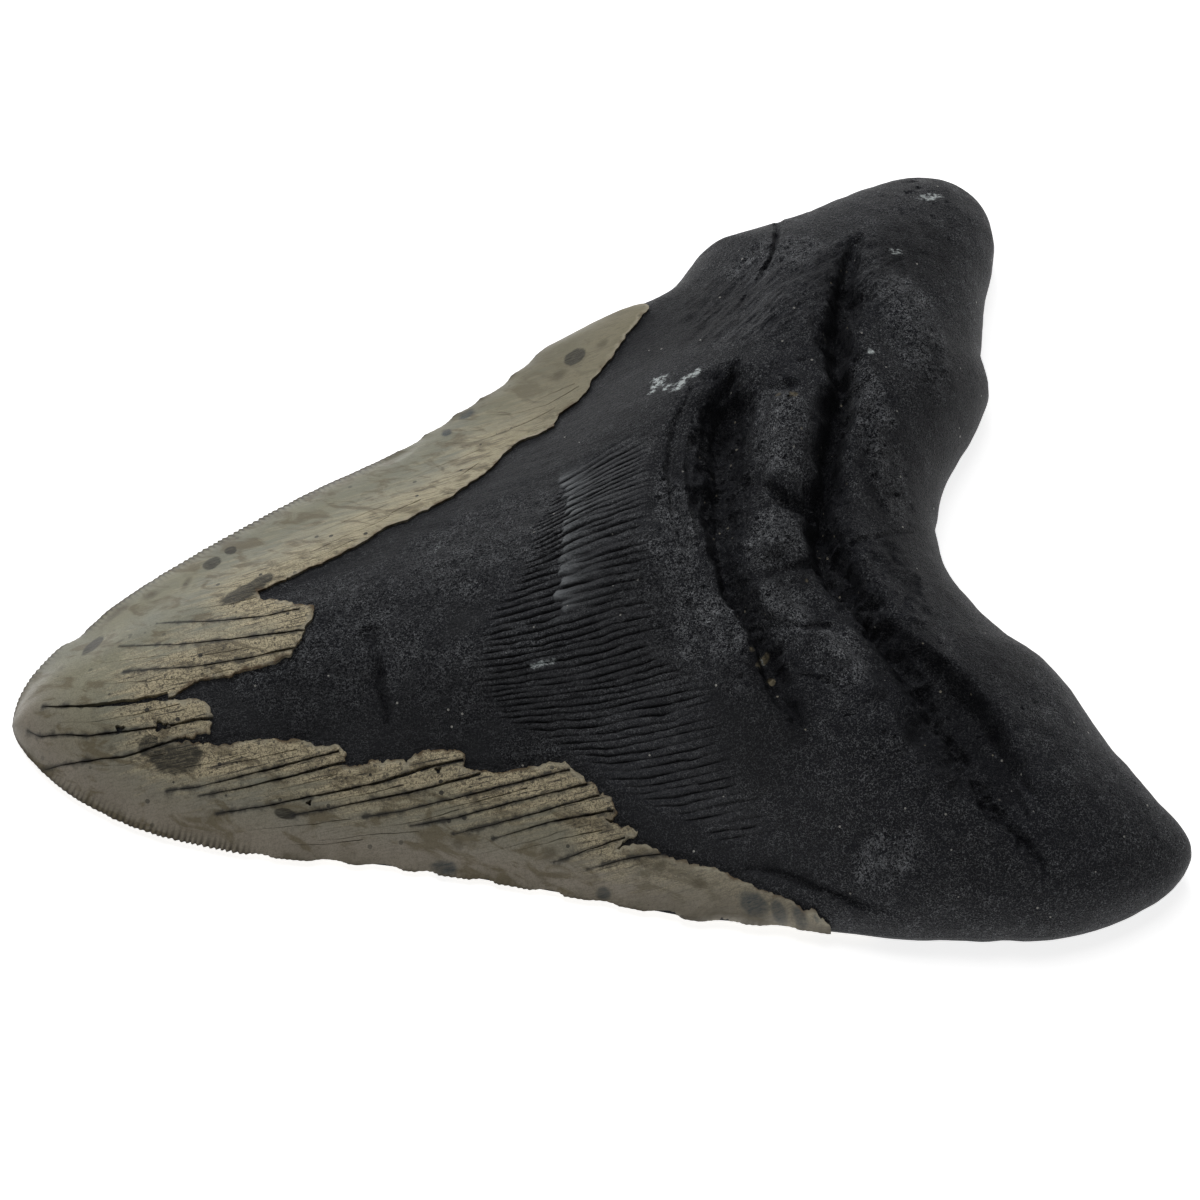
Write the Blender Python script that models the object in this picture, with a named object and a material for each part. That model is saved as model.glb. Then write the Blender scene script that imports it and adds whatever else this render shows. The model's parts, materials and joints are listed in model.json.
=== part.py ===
"""A fossil megalodon tooth, 127 mm along its longer cutting edge, lying on its outer face.

The tooth's axis runs along X, from the tip at -X to the two lobes of the root at +X. Y runs
across it and Z is up. The origin is on the surface that the tooth lies on, under its middle.
The inner face, the more domed one, is on top. It shows the black dentine where most of the
enamel has broken away, and the two eroded grooves that follow the root's fork.
"""

import bmesh
import bpy
import numpy as np

# Sizes and places below are in millimetres, and this turns them into Blender's metres.
MM = 0.001

# The outline seen from above: one loop of corners that a smooth curve passes through. It
# goes from the tip along the far cutting edge, round the root's two lobes and back.
FAR_EDGE = [
    (-59.6, 3.3), (-57.8, 7.6), (-53.9, 11.4), (-50.2, 13.3), (-46.6, 15.7), (-36.8, 20.3),
    (-23.7, 25.1), (-11.7, 28.7), (-5.3, 31.6), (1.0, 34.5), (8.1, 38.4), (14.2, 39.9),
    (19.1, 40.5), (22.5, 41.5), (25.6, 43.7), (27.2, 45.0), (30.0, 45.2), (36.5, 46.0),
    (41.5, 47.3), (46.8, 48.6),
]
ROOT_END = [
    (51.6, 49.1), (56.0, 48.2), (59.2, 45.2), (60.4, 41.0), (59.5, 36.2), (57.0, 30.3),
    (54.5, 23.4), (53.8, 18.1), (50.5, 13.4), (46.6, 8.9), (44.0, 4.2), (43.2, 1.2),
    (43.0, -2.6), (43.5, -5.5), (44.7, -8.6), (47.1, -13.1), (50.4, -17.2), (52.0, -20.8),
    (54.3, -28.4), (57.5, -35.6), (59.4, -40.6), (58.4, -43.4), (55.6, -45.4),
]
NEAR_EDGE = [
    (51.4, -47.0), (44.4, -47.8), (37.4, -46.6), (25.2, -43.2), (13.3, -38.4), (7.2, -36.2),
    (1.4, -33.4), (-6.4, -29.7), (-17.2, -25.0), (-27.3, -21.2), (-37.4, -17.8),
    (-47.3, -12.9), (-52.1, -9.2), (-55.6, -5.6), (-57.9, -2.1), (-59.3, 1.0),
]

# The rim's height above the table, from the tip (0) to the root's end (1): thin along the
# crown, and half way up the root's rounded side.
RIM_HEIGHT = [(0.0, 1.6), (0.3, 1.3), (0.6, 1.6), (0.7, 2.6), (0.82, 4.6), (1.0, 5.0)]
# How far the middle of the inner face stands above the rim.
DOME_HEIGHT = [
    (0.0, 0.0), (0.06, 2.4), (0.15, 5.2), (0.3, 8.6), (0.45, 11.6), (0.6, 14.4), (0.72, 16.6),
    (0.85, 15.0), (0.95, 12.6), (1.0, 11.6),
]
# The outer face is round towards the rim over this width, on the crown and on the root.
CROWN_UNDERCUT = 12.0
ROOT_UNDERCUT = 6.0
# The shallow hollow under the root's fork: place, reach along X and Y, and height.
UNDER_HOLLOW = (30.0, 0.0, 15.0, 17.0, 1.3)

# Enamel stands this far above the bare dentine, and thins away over the last of the rim.
ENAMEL = 0.65
ENAMEL_THINS_OVER = 1.5
ENAMEL_STEP = 0.4
# Where the enamel has broken away: its edge, from the far cutting edge to the near one.
ENAMEL_EDGE = [
    (20.5, 43.0), (19.3, 38.0), (14.0, 32.6), (12.1, 30.8), (6.6, 26.9), (-0.7, 24.4),
    (-7.3, 18.5), (-14.9, 16.9), (-18.7, 13.5), (-22.4, 12.1), (-29.5, 10.9), (-30.5, 8.5),
    (-25.5, 4.6), (-28.8, 0.0), (-35.7, -0.3), (-41.0, -1.0), (-38.5, -2.8), (-38.5, -4.8),
    (-40.0, -6.2), (-30.1, -8.4), (-25.3, -10.6), (-25.1, -12.5), (-17.7, -13.0),
    (-13.2, -14.3), (-12.7, -16.0), (-3.2, -17.9), (0.9, -22.9), (2.6, -25.5), (1.2, -26.2),
    (8.2, -30.5), (14.5, -35.9), (20.1, -40.4), (21.0, -46.0),
]
# On the outer face the enamel ends in a gentle arc before the root.
OUTER_ENAMEL_END = 16.0
OUTER_ENAMEL_ARC = 0.006

# Hollows and ridges of the inner face, each along a course of (x, y, half width, depth). A
# depth below zero is a ridge.
OUTER_GROOVE = [
    (43.8, 38.6, 0.8, 0.3), (41.5, 34.0, 2.2, 2.2), (38.2, 27.0, 2.9, 3.8), (35.2, 17.4, 2.6, 4.4),
    (34.0, 12.2, 2.6, 4.6), (31.9, 7.8, 2.5, 4.8), (29.9, 3.1, 2.8, 5.2), (28.2, -0.2, 3.2, 5.4),
    (28.4, -4.6, 3.6, 5.4), (28.9, -8.6, 3.4, 5.2), (29.6, -13.0, 3.2, 5.0),
    (31.3, -17.0, 2.8, 4.8), (33.9, -24.8, 2.2, 4.6), (35.5, -33.0, 1.8, 4.2),
    (38.6, -37.6, 1.7, 3.2), (41.0, -41.4, 1.4, 1.8), (43.0, -44.2, 0.8, 0.2),
]
OUTER_HOLLOW = [
    (31.5, -17.0, 2.6, 1.4), (34.0, -21.5, 4.4, 2.6), (36.5, -26.0, 5.6, 3.2),
    (38.8, -31.0, 5.6, 2.9), (39.8, -35.0, 4.4, 2.0), (39.6, -38.5, 2.0, 0.6),
]
INNER_GROOVE = [
    (25.1, 21.0, 0.8, 0.3), (22.9, 18.6, 2.4, 2.6), (20.8, 13.2, 4.0, 4.6), (18.9, 7.8, 4.8, 4.8),
    (17.6, 2.6, 4.4, 4.4), (16.8, -2.4, 3.1, 4.0), (17.8, -8.0, 2.8, 3.8), (18.3, -11.6, 2.6, 3.6),
    (19.5, -15.2, 2.6, 3.4), (20.0, -19.2, 2.2, 2.6), (21.6, -24.6, 0.9, 0.3),
]
INNER_TERRACE = [
    (19.0, 17.0, 2.0, 0.5), (15.3, 9.5, 3.6, 1.5), (13.6, 4.5, 3.6, 1.5), (14.2, -0.5, 2.6, 0.7),
]
LUMP = [(28.9, 14.0, 3.4, -0.7), (28.0, 9.0, 3.8, -1.3), (26.4, 5.2, 2.6, -0.9)]
LOWER_RIDGE = [(19.8, -8.8, 2.0, -0.6), (24.4, -15.4, 2.8, -1.3), (28.4, -21.6, 2.0, -0.8)]
CROSS_CRACK = [(23.9, 3.6, 0.5, 0.3), (26.0, 1.8, 0.9, 1.2), (27.5, 0.4, 0.9, 1.4)]
FAR_CRACK = [(35.3, 41.2, 0.5, 0.3), (31.6, 35.5, 0.8, 0.9), (28.9, 32.2, 0.5, 0.3)]
NEAR_LEDGE = [
    (13.5, -33.2, 0.6, 0.3), (15.6, -34.4, 0.9, 0.7), (22.3, -38.9, 1.1, 0.9),
    (28.4, -42.9, 1.0, 0.7), (34.0, -45.0, 0.5, 0.3),
]
DENT = [(-20.3, -0.5, 0.6, 0.3), (-20.4, -5.2, 0.8, 0.6), (-20.4, -9.6, 0.6, 0.3)]
ROUND_PIT = [(32.4, -27.0, 2.4, 1.5), (32.5, -27.2, 2.4, 1.5)]
SMALL_PIT = [(29.2, 15.9, 1.1, 0.9), (29.6, 15.7, 1.1, 0.9)]
DIMPLE = [(8.3, -17.0, 1.8, 0.6), (8.4, -17.2, 1.8, 0.6)]
HOLLOWS = [OUTER_GROOVE, INNER_GROOVE]
SOFT_HOLLOWS = [
    OUTER_HOLLOW, INNER_TERRACE, LUMP, LOWER_RIDGE, CROSS_CRACK, FAR_CRACK, NEAR_LEDGE, DENT,
    ROUND_PIT, SMALL_PIT, DIMPLE,
]
# Every hollow fades out over this distance from the rim.
FADE = 2.0

# The grid of each face before the Decimate modifier leaves triangles only where they count.
LINES_ALONG = 170
LINES_ACROSS = 120
CURVE_STEPS = 12
KEPT_SHARE = 0.118
MERGE = 1e-6


def closed_curve(corners):
    """The centripetal Catmull-Rom curve through a closed loop of corners."""
    here = np.array(corners, float)
    before, after, beyond = (np.roll(here, shift, axis=0) for shift in (1, -1, -2))
    gap_a, gap_b, gap_c = (
        np.sqrt(np.linalg.norm(q - p, axis=1))[:, None, None]
        for p, q in ((before, here), (here, after), (after, beyond))
    )
    p0, p1, p2, p3 = (p[:, None, :] for p in (before, here, after, beyond))
    leave = gap_b * ((p1 - p0) / gap_a - (p2 - p0) / (gap_a + gap_b) + (p2 - p1) / gap_b)
    reach = gap_b * ((p2 - p1) / gap_b - (p3 - p1) / (gap_b + gap_c) + (p3 - p2) / gap_c)
    t = np.linspace(0.0, 1.0, CURVE_STEPS, endpoint=False)[None, :, None]
    curve = (2 * t**3 - 3 * t**2 + 1) * p1 + (t**3 - 2 * t**2 + t) * leave
    curve = curve + (3 * t**2 - 2 * t**3) * p2 + (t**3 - t**2) * reach
    return curve.reshape(-1, 2)


def at_fraction(line, fraction):
    """Points at the given fractions of a line's length."""
    steps = np.linalg.norm(np.diff(line, axis=0), axis=1)
    length = np.concatenate([[0.0], np.cumsum(steps)]) / steps.sum()
    return np.stack([np.interp(fraction, length, line[:, axis]) for axis in (0, 1)], axis=-1)


def smooth_step(low, high, value):
    t = np.clip((value - low) / (high - low), 0.0, 1.0)
    return t * t * (3 - 2 * t)


def profile(table, value):
    """A smooth curve through a short table of (place, size)."""
    place, size = np.array(table, float).T
    slope = np.gradient(size, place)
    i = np.clip(np.searchsorted(place, value, side="right") - 1, 0, len(place) - 2)
    gap = place[i + 1] - place[i]
    t = (value - place[i]) / gap
    low = (2 * t**3 - 3 * t**2 + 1) * size[i] + (t**3 - 2 * t**2 + t) * gap * slope[i]
    return low + (3 * t**2 - 2 * t**3) * size[i + 1] + (t**3 - t**2) * gap * slope[i + 1]


def nearest_on(start, end, points):
    """How far along a straight piece the nearest place to each point is, and its distance."""
    piece = end - start
    along = np.clip((points - start) @ piece / max(piece @ piece, 1e-12), 0.0, 1.0)
    return along, np.linalg.norm(points - start - along[:, None] * piece, axis=1)


def distance_to(line, points, closed=False):
    ends = np.roll(line, -1, axis=0) if closed else line[1:]
    best = np.full(len(points), np.inf)
    for start, end in zip(line, ends):
        best = np.minimum(best, nearest_on(start, end, points)[1])
    return best


def carved(course, points, soft):
    """Depth of one hollow at each point: a round bowl across a soft one, a flat bottom in others."""
    course = np.array(course, float)
    depth = np.zeros(len(points))
    for a, b in zip(course, course[1:]):
        along, gap = nearest_on(a[:2], b[:2], points)
        half_width, deepest = (a[i] + along * (b[i] - a[i]) for i in (2, 3))
        share = np.clip(gap / half_width, 0.0, 1.0)
        bowl = (1 - share**2) ** 2 if soft else 1 - smooth_step(0.2, 1.0, share)
        cut = deepest * bowl
        depth = np.where(np.abs(cut) > np.abs(depth), cut, depth)
    return depth


def inside(loop, points):
    """Which points lie inside a closed loop, by counting the sides to their right."""
    found = np.zeros(len(points), bool)
    x, y = points.T
    for (ax, ay), (bx, by) in zip(loop, np.roll(loop, -1, axis=0)):
        if ay == by:
            continue
        crosses = (ay > y) != (by > y)
        found ^= crosses & (x < ax + (y - ay) * (bx - ax) / (by - ay))
    return found


def enamel_cover(points):
    """How fully enamel covers each point of the inner face, from 0 on bare dentine to 1."""
    around_tip = [(-70.0, -46.0), (-70.0, 43.0)]
    covered = inside(np.array(ENAMEL_EDGE + around_tip), points)
    edge_gap = distance_to(np.array(ENAMEL_EDGE), points)
    return smooth_step(-ENAMEL_STEP, ENAMEL_STEP, np.where(covered, edge_gap, -edge_gap))


def outer_enamel_cover(points):
    x, y = points.T
    return x < OUTER_ENAMEL_END + OUTER_ENAMEL_ARC * y**2


def plan(u, v):
    """Places seen from above: u runs from the tip to the root's end, v from far to near edge."""
    loop = closed_curve(FAR_EDGE + ROOT_END + NEAR_EDGE)
    far_corner = CURVE_STEPS * len(FAR_EDGE)
    near_corner = far_corner + CURVE_STEPS * (len(ROOT_END) - 1)
    far_side = loop[: far_corner + 1]
    root_side = loop[far_corner : near_corner + 1]
    near_side = np.concatenate([loop[near_corner:], loop[:1]])[::-1]
    u, v = u[:, None], v[:, None]
    across = (1 - v) * at_fraction(far_side, u[:, 0]) + v * at_fraction(near_side, u[:, 0])
    straight_end = root_side[0] + v * (root_side[-1] - root_side[0])
    return across + u * (at_fraction(root_side, v[:, 0]) - straight_end), loop


def inner_face(u, v, points, rim_gap):
    """Height of the domed face on top, with its hollows and the step of the broken enamel."""
    across = 2 * v - 1
    side = np.abs(across)
    near = smooth_step(-0.4, 0.4, across)
    root = smooth_step(0.55, 0.8, u)
    crown_dome = (1 - side**2) ** 1.6
    root_dome = (1 - side ** (2.8 + 1.2 * near)) ** (0.85 - 0.3 * near)
    roll = np.sqrt(1 - np.clip((u - 0.82) / 0.18, 0, 1) ** 3)
    dome = (crown_dome * (1 - root) + root_dome * root) * roll
    height = profile(RIM_HEIGHT, u) + profile(DOME_HEIGHT, u) * dome
    depth = sum(carved(course, points, soft=False) for course in HOLLOWS)
    depth = depth + sum(carved(course, points, soft=True) for course in SOFT_HOLLOWS)
    ledge = enamel_cover(points) * ENAMEL * np.clip(rim_gap / ENAMEL_THINS_OVER, 0, 1)
    return height - depth * smooth_step(0.0, FADE, rim_gap) + ledge


def outer_face(u, points, rim_gap):
    """Height of the flatter face below, which rounds up to the rim."""
    root = smooth_step(0.6, 0.85, u)
    undercut = CROWN_UNDERCUT + (ROOT_UNDERCUT - CROWN_UNDERCUT) * root
    outward = 1 - np.clip(rim_gap / undercut, 0, 1)
    centre_x, centre_y, reach_x, reach_y, rise = UNDER_HOLLOW
    x, y = points.T
    away = ((x - centre_x) / reach_x) ** 2 + ((y - centre_y) / reach_y) ** 2
    hollow = rise * np.clip(1 - away, 0, 1) ** 2 * smooth_step(0.0, undercut, rim_gap)
    return profile(RIM_HEIGHT, u) * (1 - np.sqrt(1 - outward**2)) + hollow


def add_face(mesh, top):
    """One face of the tooth as a grid of quads, moved to its places round the outline's middle."""
    made = bmesh.ops.create_grid(mesh, x_segments=LINES_ALONG, y_segments=LINES_ACROSS, size=1.0)
    verts = made["verts"]
    flat = np.array([vert.co for vert in verts])
    u = np.clip((flat[:, 0] + 1) / 2, 0, 1)
    v = np.clip((1 - flat[:, 1]) / 2, 0, 1)
    points, loop = plan(u, v)
    rim_gap = distance_to(loop, points, closed=True)
    rim_gap[(u == 0) | (u == 1) | (v == 0) | (v == 1)] = 0.0
    height = inner_face(u, v, points, rim_gap) if top else outer_face(u, points, rim_gap)
    middle = (loop.min(axis=0) + loop.max(axis=0)) / 2
    for vert, (x, y), z in zip(verts, points - middle, height):
        vert.co = (x * MM, y * MM, z * MM)
    if not top:
        faces = {face for vert in verts for face in vert.link_faces}
        bmesh.ops.reverse_faces(mesh, faces=list(faces))


def coloured(name, colour, roughness):
    """A Principled material with no metal in it."""
    material = bpy.data.materials.new(name)
    material.use_nodes = True
    shader = material.node_tree.nodes["Principled BSDF"]
    shader.inputs["Base Color"].default_value = (*colour, 1.0)
    shader.inputs["Roughness"].default_value = roughness
    shader.inputs["Metallic"].default_value = 0.0
    return material


def colour_faces(mesh):
    """Gives enamel its own material, by where each face lies."""
    mesh.materials.append(coloured("root and dentine", (0.022, 0.023, 0.027), 0.6))
    mesh.materials.append(coloured("enamel", (0.24, 0.22, 0.16), 0.4))
    centres = np.array([face.center for face in mesh.polygons]) / MM
    upward = np.array([face.normal.z > 0 for face in mesh.polygons])
    points = centres[:, :2]
    cover = np.where(upward, enamel_cover(points) > 0.5, outer_enamel_cover(points))
    mesh.polygons.foreach_set("material_index", cover.astype(np.int32))


def make_tooth():
    mesh = bmesh.new()
    add_face(mesh, top=True)
    add_face(mesh, top=False)
    bmesh.ops.remove_doubles(mesh, verts=mesh.verts, dist=MERGE)
    data = bpy.data.meshes.new("tooth")
    mesh.to_mesh(data)
    mesh.free()
    colour_faces(data)
    tooth = bpy.data.objects.new("tooth", data)
    bpy.context.collection.objects.link(tooth)
    thin_out = tooth.modifiers.new("fewer triangles where it is smooth", "DECIMATE")
    thin_out.ratio = KEPT_SHARE
    thin_out.use_collapse_triangulate = True
    return tooth


def main():
    for old in list(bpy.data.objects):
        bpy.data.objects.remove(old, do_unlink=True)
    make_tooth()


main()
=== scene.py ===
# %% [markdown]
# # A fossil megalodon tooth
#
# The tooth of a giant shark, black from millions of years in river mud. It lies on its flat
# outer face. Two things make it up, and each is a piece here. One is the body: the root, with
# its two lobes and deep eroded grooves, and the bare dentine of the crown. The other is the
# enamel, a hard skin about 0.65 mm thick, which is left only along the two cutting edges.
#
# Lengths are in millimetres in the tables, and become Blender's metres when a mesh is made.

# %% Load the fixed frame
import functools
import itertools
import json
import math

import bmesh
import bpy
import numpy as np
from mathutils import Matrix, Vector
from mathutils.kdtree import KDTree

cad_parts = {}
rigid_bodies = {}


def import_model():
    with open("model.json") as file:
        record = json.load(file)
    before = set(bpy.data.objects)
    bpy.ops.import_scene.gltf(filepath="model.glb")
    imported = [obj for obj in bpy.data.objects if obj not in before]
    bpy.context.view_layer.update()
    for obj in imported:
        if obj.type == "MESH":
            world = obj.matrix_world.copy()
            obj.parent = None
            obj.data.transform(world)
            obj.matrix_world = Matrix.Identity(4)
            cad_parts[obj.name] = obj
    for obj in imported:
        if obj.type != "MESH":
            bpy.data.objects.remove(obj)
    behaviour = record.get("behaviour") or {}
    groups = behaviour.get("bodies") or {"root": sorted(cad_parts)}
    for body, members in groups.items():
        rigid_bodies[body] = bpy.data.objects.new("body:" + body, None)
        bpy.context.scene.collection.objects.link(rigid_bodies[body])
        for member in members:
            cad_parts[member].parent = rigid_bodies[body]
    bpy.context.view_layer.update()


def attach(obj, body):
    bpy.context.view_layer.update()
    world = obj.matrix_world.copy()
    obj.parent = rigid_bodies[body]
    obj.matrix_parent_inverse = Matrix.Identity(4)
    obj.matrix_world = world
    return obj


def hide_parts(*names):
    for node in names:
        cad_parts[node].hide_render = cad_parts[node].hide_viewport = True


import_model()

MM = 0.001

# %% [markdown]
# ## The camera
#
# A museum's catalogue shows such a tooth from above, a little towards its near edge, so that
# both the outline and the domed face read well. The camera stands about 46 cm away and looks
# down at 60 degrees. A long lens keeps the outline true, as a close wide lens would swell the
# near lobe of the root.

# %% Stand the camera
LOOK_DOWN = math.radians(60)
LOOK_TURN = math.radians(-13)
CAMERA_DISTANCE = 0.458
VIEW_WIDTH = 0.131
LOOK_AT = Vector((0.0051, 0.0018, 0.005))
SENSOR = 36

towards_camera = Vector((
    math.sin(LOOK_TURN) * math.cos(LOOK_DOWN),
    -math.cos(LOOK_TURN) * math.cos(LOOK_DOWN),
    math.sin(LOOK_DOWN),
))
camera = bpy.data.objects.new("camera", bpy.data.cameras.new("camera"))
bpy.context.scene.collection.objects.link(camera)
camera.location = LOOK_AT + towards_camera * CAMERA_DISTANCE
camera.rotation_euler = towards_camera.to_track_quat("Z", "Y").to_euler()
camera.data.sensor_width = SENSOR
camera.data.lens = SENSOR * CAMERA_DISTANCE / VIEW_WIDTH
camera.data.clip_start = 0.01
bpy.context.scene.camera = camera
print("lens in mm:", round(camera.data.lens, 1))

# %% [markdown]
# ## The floor and the light
#
# The tooth lies on plain white board. The light is a wide soft box above and behind it, so
# the dome shades slowly towards the near side and the grooves fall dark. The board glows a
# little, like a light table, which keeps the shadow under the tooth faint.

# %% Lay the board
def new_object(name, mesh):
    """An object at the origin that holds the bmesh."""
    data = bpy.data.meshes.new(name)
    mesh.to_mesh(data)
    mesh.free()
    made = bpy.data.objects.new(name, data)
    bpy.context.scene.collection.objects.link(made)
    return made


BOARD_HALF = 1.5
BOARD_WHITE = (0.92, 0.92, 0.92, 1)
BOARD_ROUGHNESS = 0.8
BOARD_GLOW = 0.80

board_mesh = bmesh.new()
bmesh.ops.create_grid(board_mesh, x_segments=1, y_segments=1, size=BOARD_HALF)
board = new_object("board", board_mesh)
board_paint = bpy.data.materials.new("white board")
board_paint.use_nodes = True
board_shader = board_paint.node_tree.nodes["Principled BSDF"]
board_shader.inputs["Base Color"].default_value = BOARD_WHITE
board_shader.inputs["Roughness"].default_value = BOARD_ROUGHNESS
board_shader.inputs["Emission Color"].default_value = (1, 1, 1, 1)
board_shader.inputs["Emission Strength"].default_value = BOARD_GLOW
board.data.materials.append(board_paint)
print("board in m:", 2 * BOARD_HALF)

# %% Hang the lights
SKY_STRENGTH = 0.10
# Each light is a name, a place and a size in metres, and its power in watts.
LIGHTS = [
    ("soft box", (-0.08, 0.44, 0.46), 0.28, 1.55),
    ("overhead", (-0.02, 0.06, 0.75), 0.30, 1.1),
]


def hang_light(name, place, size, watts):
    """A square soft light that faces the tooth."""
    light = bpy.data.lights.new(name, "AREA")
    light.energy = watts
    light.size = size
    lamp = bpy.data.objects.new(name, light)
    lamp.location = place
    lamp.rotation_euler = Vector(place).to_track_quat("Z", "Y").to_euler()
    bpy.context.scene.collection.objects.link(lamp)


for light in LIGHTS:
    hang_light(*light)
sky = bpy.data.worlds.new("soft sky")
sky.use_nodes = True
sky_glow = sky.node_tree.nodes["Background"].inputs
sky_glow["Color"].default_value = (1, 1, 1, 1)
sky_glow["Strength"].default_value = SKY_STRENGTH
bpy.context.scene.world = sky
bpy.context.scene.view_settings.view_transform = "Standard"
print("lights:", [light[0] for light in LIGHTS])

# %% [markdown]
# ## The tooth's outline
#
# Seen from above the tooth is a broad blade with a forked root. Its outline is one loop of
# corners, and a smooth curve runs through them. Two directions then cover the whole tooth:
# along, from the tip at 0 to the root's end at 1, and across, from the far cutting edge at 0
# to the near one at 1. Every height on the tooth is worked out in those two directions.

# %% The outline's corners
FAR_EDGE = [
    (-59.6, 3.3), (-57.8, 7.6), (-53.9, 11.4), (-50.2, 13.3), (-46.6, 15.7), (-36.8, 20.3),
    (-23.7, 25.1), (-11.7, 28.7), (-5.3, 31.6), (1.0, 34.5), (8.1, 38.4), (14.2, 39.9),
    (19.1, 40.5), (22.5, 41.5), (25.6, 43.7), (27.2, 45.0), (30.0, 45.2), (36.5, 46.0),
    (41.5, 47.3), (46.8, 48.6),
]
ROOT_END = [
    (51.6, 49.1), (56.0, 48.2), (59.2, 45.2), (60.4, 41.0), (59.5, 36.2), (57.0, 30.3),
    (54.5, 23.4), (53.8, 18.1), (50.5, 13.4), (46.6, 8.9), (44.0, 4.2), (43.2, 1.2),
    (43.0, -2.6), (43.5, -5.5), (44.7, -8.6), (47.1, -13.1), (50.4, -17.2), (52.0, -20.8),
    (54.3, -28.4), (57.5, -35.6), (59.4, -40.6), (58.4, -43.4), (55.6, -45.4),
]
NEAR_EDGE = [
    (51.4, -47.0), (44.4, -47.8), (37.4, -46.6), (25.2, -43.2), (13.3, -38.4), (7.2, -36.2),
    (1.4, -33.4), (-6.4, -29.7), (-17.2, -25.0), (-27.3, -21.2), (-37.4, -17.8),
    (-47.3, -12.9), (-52.1, -9.2), (-55.6, -5.6), (-57.9, -2.1), (-59.3, 1.0),
]
CURVE_STEPS = 12
print("corners:", len(FAR_EDGE + ROOT_END + NEAR_EDGE))


# %% A smooth loop through the corners
def closed_curve(corners):
    """The centripetal Catmull-Rom curve through a closed loop of corners."""
    here = np.array(corners, float)
    before, after, beyond = (np.roll(here, shift, axis=0) for shift in (1, -1, -2))
    gap_a, gap_b, gap_c = (
        np.sqrt(np.linalg.norm(q - p, axis=1))[:, None, None]
        for p, q in ((before, here), (here, after), (after, beyond))
    )
    p0, p1, p2, p3 = (p[:, None, :] for p in (before, here, after, beyond))
    leave = gap_b * ((p1 - p0) / gap_a - (p2 - p0) / (gap_a + gap_b) + (p2 - p1) / gap_b)
    reach = gap_b * ((p2 - p1) / gap_b - (p3 - p1) / (gap_b + gap_c) + (p3 - p2) / gap_c)
    t = np.linspace(0.0, 1.0, CURVE_STEPS, endpoint=False)[None, :, None]
    curve = (2 * t**3 - 3 * t**2 + 1) * p1 + (t**3 - 2 * t**2 + t) * leave
    curve = curve + (3 * t**2 - 2 * t**3) * p2 + (t**3 - t**2) * reach
    return curve.reshape(-1, 2)


OUTLINE = closed_curve(FAR_EDGE + ROOT_END + NEAR_EDGE)
MIDDLE = (OUTLINE.min(axis=0) + OUTLINE.max(axis=0)) / 2
FAR_CORNER = CURVE_STEPS * len(FAR_EDGE)
NEAR_CORNER = FAR_CORNER + CURVE_STEPS * (len(ROOT_END) - 1)
FAR_SIDE = OUTLINE[: FAR_CORNER + 1]
ROOT_SIDE = OUTLINE[FAR_CORNER : NEAR_CORNER + 1]
NEAR_SIDE = np.concatenate([OUTLINE[NEAR_CORNER:], OUTLINE[:1]])[::-1]


def length_of(line):
    """How long a line of points is."""
    return np.linalg.norm(np.diff(line, axis=0), axis=1).sum()


print("cutting edges in mm:", round(length_of(FAR_SIDE)), round(length_of(NEAR_SIDE)))


# %% Places on the tooth from along and across
def at_fraction(line, fraction):
    """Points at the given fractions of a line's length."""
    steps = np.linalg.norm(np.diff(line, axis=0), axis=1)
    length = np.concatenate([[0.0], np.cumsum(steps)]) / steps.sum()
    return np.stack([np.interp(fraction, length, line[:, axis]) for axis in (0, 1)], axis=-1)


def plan(u, v):
    """Places seen from above, u along the tooth and v across it."""
    far, near = at_fraction(FAR_SIDE, u), at_fraction(NEAR_SIDE, u)
    u, v = u[..., None], v[..., None]
    straight_end = ROOT_SIDE[0] + v * (ROOT_SIDE[-1] - ROOT_SIDE[0])
    bulge = at_fraction(ROOT_SIDE, v[..., 0]) - straight_end
    return (1 - v) * far + v * near + u * bulge


def width_at(u):
    """How wide the tooth is at u, in mm."""
    return np.linalg.norm(at_fraction(FAR_SIDE, u) - at_fraction(NEAR_SIDE, u), axis=-1)


print("width half way along in mm:", round(float(width_at(0.5)), 1))

# %% [markdown]
# ## The big form
#
# Three things make the form: a rim that is thin along the crown and thicker round the root, a
# dome over it, and hollows eroded into the dome. Each hollow follows a short course of points
# with a width and a depth, the way that a river bed is drawn on a map. The same tables made
# the solid in the frame, so the dressed tooth lies exactly where the solid does.

# %% Rim, dome and hollows
RIM_HEIGHT = [(0.0, 1.6), (0.3, 1.3), (0.6, 1.6), (0.7, 2.6), (0.82, 4.6), (1.0, 5.0)]
DOME_HEIGHT = [
    (0.0, 0.0), (0.06, 2.4), (0.15, 5.2), (0.3, 8.6), (0.45, 11.6), (0.6, 14.4), (0.72, 16.6),
    (0.85, 15.0), (0.95, 12.6), (1.0, 11.6),
]
CROWN_UNDERCUT = 12.0
ROOT_UNDERCUT = 6.0
UNDER_HOLLOW = (30.0, 0.0, 15.0, 17.0, 1.3)
FADE = 2.0

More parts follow.
